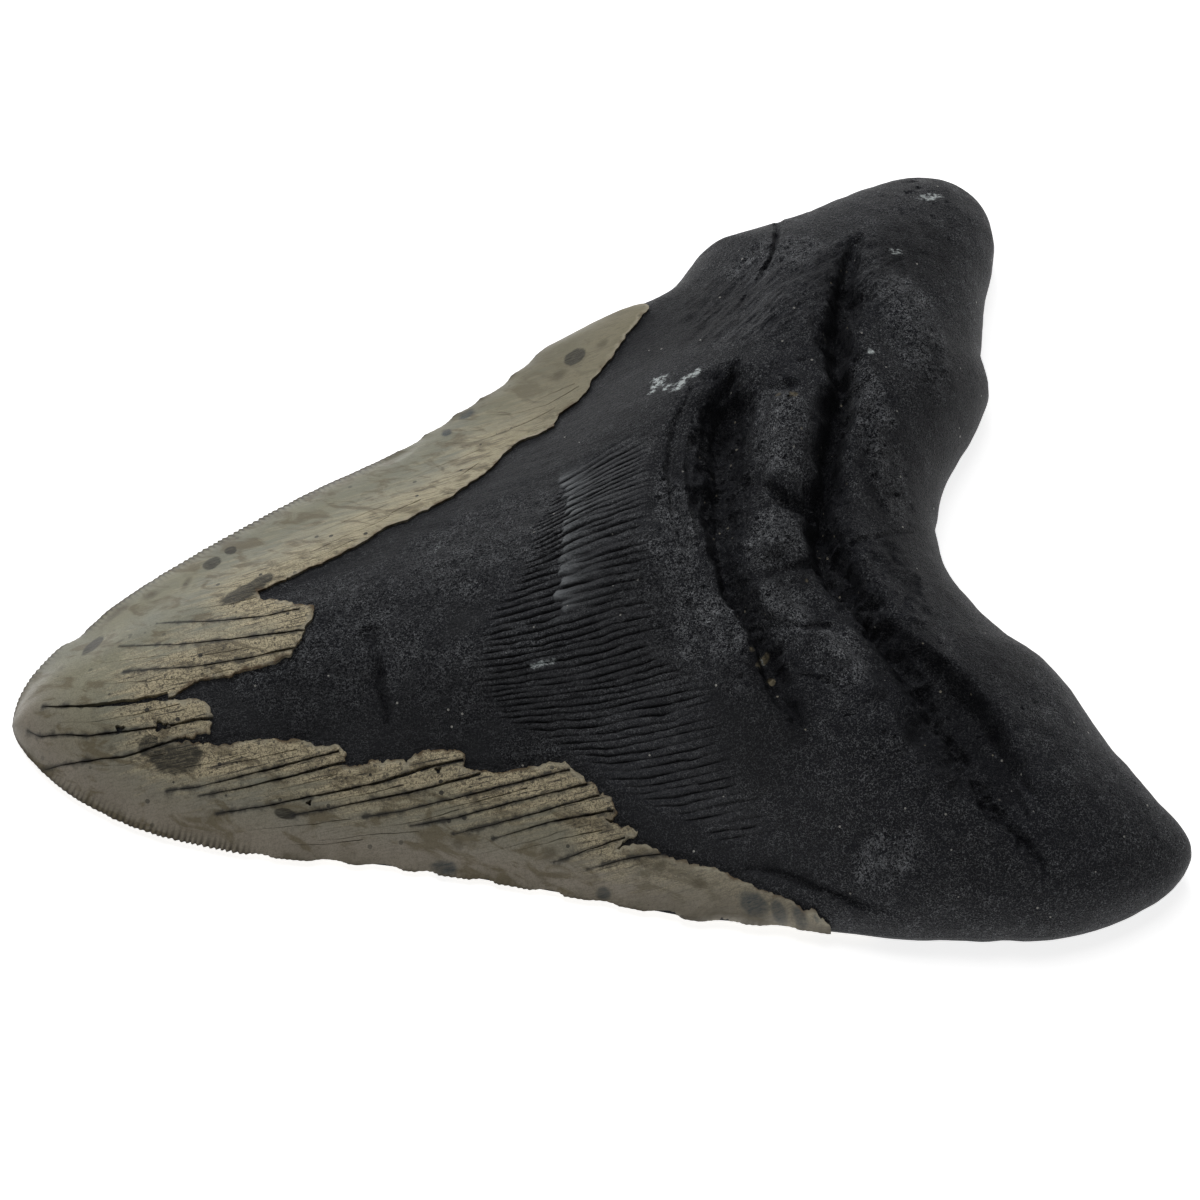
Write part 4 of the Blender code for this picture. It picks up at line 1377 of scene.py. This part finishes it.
def paint(colour, layers):
    """Lays colours over one another, each by its own share from 0 to 1."""
    for share, tint in layers:
        colour = blend(share, colour, tint)
    return colour


def stored(tree, *names):
    """The outputs of the attributes that are kept on the piece under these names."""
    kind = "ShaderNodeAttribute"
    return [add_node(tree, kind, {}, attribute_name=name).outputs["Fac"] for name in names]


print("node helpers are ready")

# %% Helpers for patterns
def place_in_mm(tree, stretch=(1.0, 1.0, 1.0), turn=0.0):
    """The piece's own coordinates in mm, turned by an angle and stretched along each axis."""
    where = tree.nodes.new("ShaderNodeTexCoord").outputs["Object"]
    steps = [{"Rotation": (0, 0, math.radians(turn))}, {"Scale": tuple(1 / MM / side for side in stretch)}]
    for step in steps:
        where = add_node(tree, "ShaderNodeMapping", {"Vector": where, **step}).outputs["Vector"]
    return where


def noise(where, size, detail=3.0, roughness=0.55, distortion=0.0):
    """Noise with bumps about the given size in mm, from 0 to 1."""
    sockets = {"Vector": where, "Scale": 1.0 / size, "Detail": detail}
    sockets.update({"Roughness": roughness, "Distortion": distortion})
    return add_node(tree_of(where), "ShaderNodeTexNoise", sockets).outputs["Fac"]


def streaked(tree, stretch, turn, **kind):
    """Noise drawn out into streaks of the given size in mm, turned by an angle."""
    return noise(place_in_mm(tree, stretch, turn), 1.0, **kind)


def scaled(vector, factor):
    """A vector made longer or shorter by a factor."""
    sockets = {0: vector, "Scale": factor}
    return add_node(tree_of(vector), "ShaderNodeVectorMath", sockets, operation="SCALE").outputs[0]


print("pattern helpers are ready")

# %% [markdown]
# ## Effects that both finishes share
#
# Three effects come back in both materials, so each is a node group, built once. Leathery
# grain is the fine mottling of old mineral, with a net of veins on its crests. Specks are
# tiny crystals, pits and dust. A spot is one soft-edged stain at a given place.

# %% Group helpers and the leathery grain
NUMBER = "NodeSocketFloat"
VECTOR = "NodeSocketVector"


def new_group(name, inputs, outputs):
    """An empty group with named sockets, what it is given, and what it hands back."""
    group = bpy.data.node_groups.new(name, "ShaderNodeTree")
    for label, kind in inputs.items():
        group.interface.new_socket(label, in_out="INPUT", socket_type=kind)
    for label in outputs:
        group.interface.new_socket(label, in_out="OUTPUT", socket_type=NUMBER)
    given = group.nodes.new("NodeGroupInput").outputs
    return group, given, group.nodes.new("NodeGroupOutput").inputs


def use_group(group, sockets):
    """Places a group in the tree that its values come from."""
    tree = tree_of(*sockets.values())
    return add_node(tree, "ShaderNodeGroup", sockets, node_tree=group).outputs


GRAIN, given, handed_back = new_group(
    "leathery grain", {"Place": VECTOR, "Fineness": NUMBER}, ["Height", "Veins"]
)
grain_place = scaled(given["Place"], given["Fineness"])
creases = noise(grain_place, 1.0, detail=1.0, roughness=0.5, distortion=0.5)
creases = maths("ABSOLUTE", minus(creases, 0.5), 0.0)
fine_grain = remap(noise(grain_place, 0.45, detail=2.0, roughness=0.7), 0.25, 0.75)
cushions = remap(creases, 0.0, 0.14)
fill(handed_back["Height"], plus(times(cushions, 0.55), times(fine_grain, 0.45)))
broken_veins = times(remap(creases, 0.085, 0.010), remap(fine_grain, 0.25, 0.65))
fill(handed_back["Veins"], broken_veins)
print("grain:", len(GRAIN.nodes), "nodes")

# %% Specks
SPECKS, given, handed_back = new_group(
    "specks", {"Place": VECTOR, "Spacing": NUMBER, "Share": NUMBER, "Size": NUMBER}, ["Mask"]
)
speck_place = scaled(given["Place"], maths("DIVIDE", 1.0, given["Spacing"]))
speck_cells = add_node(SPECKS, "ShaderNodeTexVoronoi", {"Vector": speck_place, "Scale": 1.0}).outputs
near_middle = maths("LESS_THAN", speck_cells["Distance"], given["Size"])
lot = add_node(SPECKS, "ShaderNodeSeparateColor", {"Color": speck_cells["Color"]}).outputs["Red"]
fill(handed_back["Mask"], times(near_middle, maths("LESS_THAN", lot, given["Share"])))
print("specks:", len(SPECKS.nodes), "nodes")

# %% Stain spot
SPOT, given, handed_back = new_group(
    "stain spot",
    {"Place": VECTOR, "Centre": VECTOR, "Turn": NUMBER, "Reach": VECTOR, "Softness": NUMBER, "Rag": NUMBER},
    ["Mask"],
)


def spot_step(kind, sockets, **settings):
    """One step of the vector sum that measures how far a place is from the spot's middle."""
    return add_node(SPOT, "ShaderNodeVector" + kind, sockets, **settings).outputs


spot_way = spot_step("Math", {0: given["Place"], 1: given["Centre"]}, operation="SUBTRACT")[0]
spot_way = spot_step("Rotate", {"Vector": spot_way, "Angle": given["Turn"]}, rotation_type="Z_AXIS")[0]
spot_way = spot_step("Math", {0: spot_way, 1: given["Reach"]}, operation="DIVIDE")[0]
spot_gap = spot_step("Math", {0: spot_way}, operation="LENGTH")["Value"]
spot_fade = {
    "Value": plus(spot_gap, given["Rag"]), "From Min": 1.0, "From Max": minus(1.0, given["Softness"])
}
spot_mask = add_node(
    SPOT, "ShaderNodeMapRange", spot_fade, clamp=True, interpolation_type="SMOOTHSTEP"
)
fill(handed_back["Mask"], spot_mask.outputs["Result"])
print("spot:", len(SPOT.nodes), "nodes")


# %% Many spots from one table
def spots(where, table, softness, raggedness):
    """The greatest mask of several spots: each is x, y, z, reach along, reach across, turn."""
    ragged = noise(where, 0.9, detail=4.0, roughness=0.65)
    ragged = remap(ragged, 0.0, 1.0, -0.5 * raggedness, 0.5 * raggedness)
    masks = []
    for x, y, z, long_side, short_side, turn in table:
        sockets = {
            "Place": where, "Centre": (x, y, z), "Turn": math.radians(-turn),
            "Reach": (long_side, short_side, max(long_side, short_side) + 1.0),
            "Softness": softness, "Rag": ragged,
        }
        masks.append(use_group(SPOT, sockets)["Mask"])
    return functools.reduce(most, masks)


def new_finish(name):
    """A new material, with its node tree and the sockets of its shader."""
    material = bpy.data.materials.new(name)
    material.use_nodes = True
    tree = material.node_tree
    return material, tree, tree.nodes["Principled BSDF"].inputs


def bumpy(tree, relief, height):
    """Turns a relief from 0 to 1 into bumps of the given height in metres."""
    sockets = {"Height": relief, "Distance": height, "Strength": 1.0}
    return add_node(tree, "ShaderNodeBump", sockets).outputs[0]


print("helpers for spots and finishes are ready")


# %% [markdown]
# ## The finish of the root and dentine
#
# Minerals have turned the bone and dentine a bluish black. It isn't one black, though. High
# grain is rubbed grey, partly as wear and partly as painted glints, low grain keeps the dark,
# the wrinkles shine a little and carry painted highlights, the grooves, valleys and a few
# places carry painted shade, and pale dust sits in a few scrapes. It could be one colour with
# noise over it, but then the bumps and the colour would not agree. Here the colour follows
# the same grain that makes the bumps.

# %% Dust and clay on the black
PALE_DUST = [
    (16.4, 22.2, 14.0, 1.5, 1.1, 60), (17.0, 20.7, 15.1, 0.9, 0.5, 20), (18.6, 20.5, 15.8, 1.9, 0.7, 30),
    (20.4, 21.1, 16.2, 1.1, 0.45, 45), (15.4, 21.0, 14.2, 0.7, 0.35, 20), (53.2, 42.4, 9.8, 1.8, 0.9, 10),
    (46.2, 32.9, 14.5, 0.6, 0.9, 70), (39.3, 18.4, 18.1, 0.5, 0.5, 0), (-3.7, -9.2, 13.6, 1.7, 0.4, -4),
    (18.2, -15.6, 17.0, 0.8, 0.4, -60), (-11.4, 8.5, 11.5, 1.1, 0.25, 60),
]
CLAY = [
    (17.3, -15.7, 18.5, 0.5, 0.45, 0), (18.7, -15.8, 16.6, 1.0, 0.5, 10), (17.6, -17.2, 17.6, 0.7, 0.4, 60),
    (27.6, 13.7, 20.0, 0.45, 0.4, 0), (29.1, 13.3, 20.0, 0.7, 0.5, 0), (18.9, -18.4, 16.6, 0.5, 0.5, 0),
    (24.9, -9.2, 19.0, 0.35, 0.5, 0),
]
print("scrapes with dust:", len(PALE_DUST), "and with clay:", len(CLAY))

# %% What the black is made of
body_finish, tree, black = new_finish("root and dentine")
here = place_in_mm(tree)
bone, wrinkled_here, valley_here, highlight_tip_here, groove_here, slanted_here, shaded_here, pocked_here = stored(
    tree, "bone", "wrinkled", "valley", "tip_highlight", "groove", "slanted", "shaded", "pocked"
)
border = remap(noise(here, 3.0, detail=3.0, roughness=0.6), 0.3, 0.7, -0.55, 0.35)
pocked_here = remap(plus(pocked_here, border), 0.0, 1.0)
leather = use_group(GRAIN, {"Place": here, "Fineness": 3.0})
crackled = use_group(GRAIN, {"Place": here, "Fineness": 1.5})
slant_lines = streaked(tree, (3.2, 0.34, 0.6), -31, detail=3.0, roughness=0.65)
long_lines = streaked(tree, (3.0, 0.30, 0.5), 2, detail=2.0, roughness=0.6)
long_lines = remap(long_lines, 0.32, 0.68)
patchy = noise(here, 9.0, detail=3.0, roughness=0.6)
mottled = noise(here, 1.9, detail=4.0, roughness=0.68)
print("nodes so far:", len(tree.nodes))

# %% Where the black is rubbed grey, partly as painted glints
uneven = remap(plus(mottled, remap(crackled["Height"], 0.2, 0.9, -0.08, 0.08)), 0.38, 0.62)
pocked_rub_and_highlight = times(pocked_here, remap(bone, 0.0, 1.0, 0.45, 1.0))
pocked_rub_and_highlight = times(pocked_rub_and_highlight, remap(uneven, 0.0, 1.0, 0.20, 0.56))
rub_and_glint_reach = plus(remap(uneven, 0.0, 1.0, 0.20, 0.40), pocked_rub_and_highlight)
veins = most(leather["Veins"], times(crackled["Veins"], times(pocked_here, 0.8)))
smooth_crown = times(minus(1.0, bone), remap(wrinkled_here, 0.0, 0.5, 0.50, 0.0))
smooth_crown = times(smooth_crown, remap(pocked_here, 0.0, 0.8, 1.0, 0.15))
# A painted highlight over the wrinkled band, in streaks.
fold_highlight_share = times(wrinkled_here, remap(long_lines, 0.0, 1.0, 0.2, 0.8))
print("nodes with the rubbed shares:", len(tree.nodes))

# %% What lies on the black
grit = use_group(SPECKS, {"Place": here, "Spacing": 1.3, "Share": 0.10, "Size": 0.10})["Mask"]
silt = use_group(SPECKS, {"Place": here, "Spacing": 0.9, "Share": 0.16, "Size": 0.16})["Mask"]
silt = times(silt, remap(groove_here, 0.35, 0.8, 0.0, 0.9))
clay = times(spots(here, CLAY, 0.5, 0.9), remap(mottled, 0.36, 0.50))
dust_grain = streaked(tree, (0.62, 0.34, 0.4), 30, detail=4.0, roughness=0.75)
dust = times(spots(here, PALE_DUST, 0.6, 2.2), remap(dust_grain, 0.45, 0.53))
print("nodes with dust and clay:", len(tree.nodes))

# %% The colours of the black, from the ground up
DEEP_BLACK = (0.0036, 0.0038, 0.0052)
BLACK = (0.0152, 0.0162, 0.0203)
# The rubbed grey is partly wear and partly painted glints on the grain's crests.
RUBBED_AND_GLINT_GREY = (0.440, 0.455, 0.475)
BLUISH_BLACK = (0.0190, 0.0205, 0.0280)
SLANT_GREY = (0.150, 0.155, 0.165)
SLANT_BLACK = (0.0062, 0.0065, 0.0085)
CROWN_BLACK = (0.0262, 0.0270, 0.0288)
# In the next four colours, the fold and tip greys are painted highlights, and the valley and groove blacks
# are painted shade.
FOLD_HIGHLIGHT_GREY = (0.088, 0.090, 0.096)
TIP_HIGHLIGHT_GREY = (0.250, 0.265, 0.275)
VALLEY_SHADE = (0.0055, 0.0056, 0.0065)
GROOVE_SHADE = (0.0080, 0.0084, 0.0108)
GRIT_WHITE = (0.42, 0.41, 0.38)
SILT_BROWN = (0.34, 0.31, 0.25)
CLAY_BROWN = (0.21, 0.18, 0.12)
DUST_WHITE = (0.62, 0.67, 0.67)

colour = blend(remap(leather["Height"], 0.40, 0.62), DEEP_BLACK, BLACK)
colour = paint(colour, [
    # Rubbed grey on the veins: partly wear, partly painted glints, and more on the pocked lumps as painted
    # highlight.
    (times(veins, rub_and_glint_reach), RUBBED_AND_GLINT_GREY),
    (remap(patchy, 0.35, 0.7, 0.0, 0.26), BLUISH_BLACK),
    (times(slanted_here, remap(slant_lines, 0.50, 0.66, 0.0, 0.34)), SLANT_GREY),
    (times(slanted_here, remap(slant_lines, 0.46, 0.36, 0.0, 0.6)), SLANT_BLACK),
    # Painted shade: a few places darker than the rest.
    (times(shaded_here, 0.42), DEEP_BLACK),
    (smooth_crown, CROWN_BLACK),
    # Painted highlights on the wrinkled band and its finger tips.
    (times(fold_highlight_share, 0.6), FOLD_HIGHLIGHT_GREY),
    (times(highlight_tip_here, 0.85), TIP_HIGHLIGHT_GREY),
    # Painted shade in the valleys between the wrinkles, and in the grooves, hollows and deep places.
    (times(valley_here, 0.9), VALLEY_SHADE),
    (remap(groove_here, 0.10, 0.80, 0.0, 0.50), GROOVE_SHADE),
    (times(grit, 0.9), GRIT_WHITE),
    (silt, SILT_BROWN),
    (clay, CLAY_BROWN),
    (times(dust, 0.95), DUST_WHITE),
])
fill(black["Base Color"], colour)
print("nodes with the colours:", len(tree.nodes))

# %% The gloss and bumps of the black
GRAIN_HEIGHT = 0.00015

gloss = remap(leather["Height"], 0.2, 0.9, 0.62, 0.40)
gloss = minus(gloss, times(wrinkled_here, 0.06))
gloss = minus(gloss, times(highlight_tip_here, 0.10))
fill(black["Roughness"], gloss)
black["Specular IOR Level"].default_value = 0.12

fine_bump = times(leather["Height"], remap(most(bone, pocked_here), 0.0, 1.0, 0.4, 1.0))
coarse_share = remap(most(pocked_here, times(bone, 0.35)), 0.0, 1.0, 0.05, 1.5)
coarse_bump = times(crackled["Height"], coarse_share)
line_bump = times(long_lines, remap(bone, 0.0, 1.0, 0.35, 0.15))
fill(black["Normal"], bumpy(tree, plus(plus(fine_bump, coarse_bump), line_bump), GRAIN_HEIGHT))
print("nodes in the black finish:", len(tree.nodes))

# %% [markdown]
# ## The finish of the enamel
#
# Enamel is denser than dentine and took up less of the mud's colour. It is grey green near
# the cutting edges, and turns to a chalky tan where it has broken, because water got in there.
# Fine streaks run along the tooth. Round stains, rusty lips and tiny pits come on top, and
# shade is painted into the serration notches and along the very edge. It could be one noisy
# brown, but every mark has its own cause, so each is a layer of its own.

# %% Stains and chips on the enamel
DARK_STAINS = [
    (-43.5, -7.3, 6.0, 3.3, 2.1, -20), (-46.0, -5.6, 6.0, 1.4, 1.2, 10), (-32.6, 9.8, 8.0, 3.3, 1.35, 16),
    (-30.6, 10.8, 8.0, 1.8, 1.0, 20), (-49.8, 9.3, 3.6, 1.9, 0.85, 42), (-35.3, 16.9, 3.3, 1.3, 1.1, 30),
    (-33.0, 18.2, 3.1, 0.8, 0.9, 0), (-33.3, -15.5, 3.7, 1.4, 0.6, -25), (9.5, 33.5, 4.8, 1.5, 1.3, 20),
]
FAINT_STAINS = [
    (-16.1, -22.8, 2.8, 1.0, 0.9, 0), (-6.8, -26.1, 3.0, 1.2, 1.0, 0), (7.2, 31.7, 4.4, 1.5, 1.1, 10),
    (12.7, 33.6, 6.1, 1.2, 0.9, 30), (-17.0, 20.4, 4.8, 0.8, 0.35, 8), (-8.2, 21.9, 5.3, 0.35, 0.7, 0),
    (2.1, -29.5, 3.5, 0.9, 0.5, -10), (4.2, -30.6, 3.6, 1.2, 1.0, -10), (7.7, -33.5, 4.0, 1.2, 0.9, -30),
    (-44.0, -4.2, 7.5, 0.6, 0.5, 0), (-50.0, -4.6, 6.0, 0.7, 0.6, 0), (-46.6, 13.6, 2.4, 2.6, 0.8, 32),
    (-42.6, 14.6, 3.4, 1.6, 0.9, 10), (-38.4, 14.9, 4.6, 2.0, 0.7, 60), (-53.6, 7.2, 2.8, 1.0, 0.6, 40),
    (-46.8, 8.2, 5.4, 0.8, 0.3, 20), (-34.0, -19.4, 1.9, 0.7, 0.5, 0), (-20.0, 3.0, 0.0, 3.0, 2.0, 30),
    (-35.0, -8.0, 0.0, 2.5, 1.6, -20), (2.0, 16.0, 0.0, 2.2, 1.5, 0),
]
BLUE_CHIPS = [
    (-3.7, 30.6, 2.2, 1.3, 0.9, 20), (-6.5, 28.3, 2.6, 0.8, 0.9, 0), (-18.0, -24.6, 1.9, 1.8, 0.9, -20),
    (-2.2, -31.4, 1.8, 1.0, 0.8, -20), (12.6, -37.4, 4.5, 2.2, 1.3, -40), (15.0, -39.0, 4.5, 1.8, 0.8, -65),
    (17.0, -40.2, 4.7, 1.6, 0.7, -65), (18.8, -40.6, 5.0, 0.8, 0.6, -65),
]
print("stains:", len(DARK_STAINS), "dark and", len(FAINT_STAINS), "faint")

# %% What the enamel is made of
enamel_finish, tree, skin = new_finish("enamel")
here = place_in_mm(tree)
near_break, lip_here, near_crack, near_edge, near_side, notch_here = stored(
    tree, "near_break", "lip", "near_crack", "near_edge", "near_side", "notch"
)
long_streaks = streaked(tree, (9.0, 0.6, 1.2), 4, detail=4.0, roughness=0.6)
fine_streaks = streaked(tree, (2.6, 0.16, 0.4), 4, detail=3.0, roughness=0.65)
hairs = streaked(tree, (7.0, 0.22, 0.8), 3, detail=2.0, roughness=0.5, distortion=0.2)
wisps = streaked(tree, (5.0, 2.0, 3.0), 30, detail=4.0, roughness=0.6, distortion=0.8)
clouds = noise(here, 8.0, detail=3.0, roughness=0.55)
mottle = noise(here, 1.4, detail=4.0, roughness=0.62)
patch = noise(here, 3.2, detail=3.0, roughness=0.6)
chalk_grain = use_group(GRAIN, {"Place": here, "Fineness": 3.0})["Height"]
print("nodes so far:", len(tree.nodes))

# %% Where the enamel is chalky
spread = add_node(tree, "ShaderNodeSeparateXYZ", {"Vector": here}).outputs
# The strip along the far edge has fewer marks, and both ends of the break are olive.
quiet = remap(spread["Y"], 8.0, 15.0, 1.0, 0.22)
far_end = times(remap(spread["X"], -5.0, 7.0), remap(spread["Y"], 17.0, 25.0))
near_end = times(remap(spread["X"], -3.0, 7.0), remap(spread["Y"], -22.0, -28.0))
uneven_break = plus(near_break, remap(long_streaks, 0.3, 0.7, -0.20, 0.20))
uneven_break = minus(uneven_break, times(near_side, 0.42))
chalky = times(remap(uneven_break, 0.15, 0.55), remap(quiet, 0.22, 1.0, 0.62, 1.0))
chalky = times(chalky, remap(near_end, 0.0, 1.0, 1.0, 0.45))
print("nodes with the chalky share:", len(tree.nodes))

# %% Marks in and on the enamel
streaky = times(remap(fine_streaks, 0.5, 0.34), remap(near_break, 0.05, 0.6, 0.12, 0.55))
meshed = times(remap(chalk_grain, 0.54, 0.24), remap(chalky, 0.0, 1.0, 0.30, 0.80))
hairy = times(remap(hairs, 0.395, 0.350), remap(chalky, 0.0, 1.0, 0.0, 0.85))
pepper = use_group(SPECKS, {"Place": here, "Spacing": 0.55, "Share": 0.42, "Size": 0.28})["Mask"]
pepper = times(times(pepper, remap(chalky, 0.2, 1.0, 0.10, 0.68)), quiet)
pits = use_group(SPECKS, {"Place": here, "Spacing": 1.7, "Share": 0.30, "Size": 0.15})["Mask"]
pits = times(pits, remap(near_break, 0.0, 0.5, 0.25, 0.9))
faint = spots(here, FAINT_STAINS, 0.8, 0.6)
dark = spots(here, DARK_STAINS, 0.28, 0.5)
dark = times(dark, remap(fine_streaks, 0.40, 0.58, 0.96, 0.72))
chips = times(spots(here, BLUE_CHIPS, 0.5, 0.6), remap(fine_streaks, 0.4, 0.6, 0.6, 1.0))
lip_reach = plus(lip_here, remap(mottle, 0.35, 0.65, -0.30, 0.25))
creamy = times(remap(lip_reach, 0.25, 0.7), remap(patch, 0.42, 0.56, 0.65, 0.0))
rusty = times(remap(lip_reach, 0.5, 0.95), remap(patch, 0.40, 0.58, 0.25, 0.9))
sooty = remap(plus(near_crack, remap(mottle, 0.35, 0.65, -0.25, 0.25)), 0.30, 0.85)
print("nodes with the marks:", len(tree.nodes))

# %% The colours of the enamel, from the ground up
GREEN_GREY = (0.300, 0.288, 0.200)
BLUE_GREY = (0.258, 0.260, 0.200)
BROWN_GREY = (0.345, 0.302, 0.246)
TAN = (0.600, 0.515, 0.335)
WISP_BROWN = (0.160, 0.130, 0.074)
STREAK_BROWN = (0.130, 0.110, 0.075)
MESH_BROWN = (0.095, 0.080, 0.056)
HAIR_BLACK = (0.040, 0.036, 0.030)
MOTTLE_BROWN = (0.12, 0.112, 0.085)
PEPPER_BLACK = (0.045, 0.040, 0.034)
SOOT = (0.020, 0.020, 0.020)
FAR_END_OLIVE = (0.196, 0.178, 0.118)
NEAR_END_OLIVE = (0.205, 0.190, 0.150)
FAINT_BROWN = (0.095, 0.078, 0.048)
STAIN_BLACK = (0.030, 0.028, 0.021)
CHIP_BLUE = (0.052, 0.066, 0.074)
CREAM = (0.520, 0.480, 0.360)
RUST = (0.125, 0.083, 0.045)
EDGE_BROWN = (0.130, 0.112, 0.075)
# The last two browns are painted shade, in the serration notches and along the very edge.
NOTCH_SHADE = (0.060, 0.050, 0.036)
EDGE_LINE_SHADE = (0.060, 0.050, 0.035)

colour = blend(remap(clouds, 0.38, 0.62), GREEN_GREY, BLUE_GREY)
colour = paint(colour, [
    (remap(near_side, 0.15, 0.7, 0.0, 0.85), BROWN_GREY),
    (chalky, TAN),
    (remap(wisps, 0.52, 0.62, 0.0, 0.74), WISP_BROWN),
    (streaky, STREAK_BROWN),
    (times(meshed, quiet), MESH_BROWN),
    (hairy, HAIR_BLACK),
    (remap(mottle, 0.55, 0.75, 0.0, 0.30), MOTTLE_BROWN),
    (pepper, PEPPER_BLACK),
    (pits, SOOT),
    (times(far_end, 0.75), FAR_END_OLIVE),
    (times(near_end, 0.45), NEAR_END_OLIVE),
    (times(faint, 0.62), FAINT_BROWN),
    (dark, STAIN_BLACK),
    (chips, CHIP_BLUE),
    (creamy, CREAM),
    (rusty, RUST),
    (times(sooty, 0.85), SOOT),
    (times(near_edge, remap(patch, 0.35, 0.6, 0.15, 0.8)), EDGE_BROWN),
    # Painted shade in the serration notches and in a thin line along the very edge.
    (times(remap(notch_here, 0.12, 0.50), 0.85), NOTCH_SHADE),
    (remap(near_edge, 0.72, 0.95, 0.0, 0.60), EDGE_LINE_SHADE),
])
fill(skin["Base Color"], colour)
print("nodes with the colours:", len(tree.nodes))

# %% The gloss and bumps of the enamel
ENAMEL_GRAIN_HEIGHT = 0.00006

satin = remap(near_break, 0.1, 0.7, 0.36, 0.60)
satin = plus(satin, remap(mottle, 0.3, 0.7, -0.05, 0.08))
fill(skin["Roughness"], satin)
skin["Specular IOR Level"].default_value = 0.35

streak_bump = times(fine_streaks, remap(near_break, 0.0, 0.6, 0.25, 1.0))
chalk_bump = times(chalk_grain, remap(chalky, 0.0, 1.0, 0.12, 0.8))
enamel_relief = plus(plus(streak_bump, chalk_bump), times(pepper, -1.0))
fill(skin["Normal"], bumpy(tree, enamel_relief, ENAMEL_GRAIN_HEIGHT))
print("nodes in the enamel finish:", len(tree.nodes))

# %% [markdown]
# ## Finish the pieces
#
# Smooth shading hides the small facets, but the broken walls and the cracks have to stay
# sharp, so edges over an angle are marked sharp. Both pieces then ride on the frame's body,
# and the black one stands in for the plain solid.

# %% Dress and mount the pieces
SHARP_ANGLE = math.radians(42)


def dress(piece, material):
    """Gives a piece its one material, and smooth shading that breaks at sharp edges."""
    piece.data.materials.clear()
    piece.data.materials.append(material)
    count = len(piece.data.polygons)
    piece.data.polygons.foreach_set("material_index", np.zeros(count, np.int32))
    piece.data.polygons.foreach_set("use_smooth", np.ones(count, bool))
    piece.data.set_sharp_from_angle(angle=SHARP_ANGLE)
    piece.data.update()


dress(body, body_finish)
dress(enamel, enamel_finish)
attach(body, "root")
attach(enamel, "root")
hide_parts("tooth")
print("pieces:", [piece.name for piece in (body, enamel)])
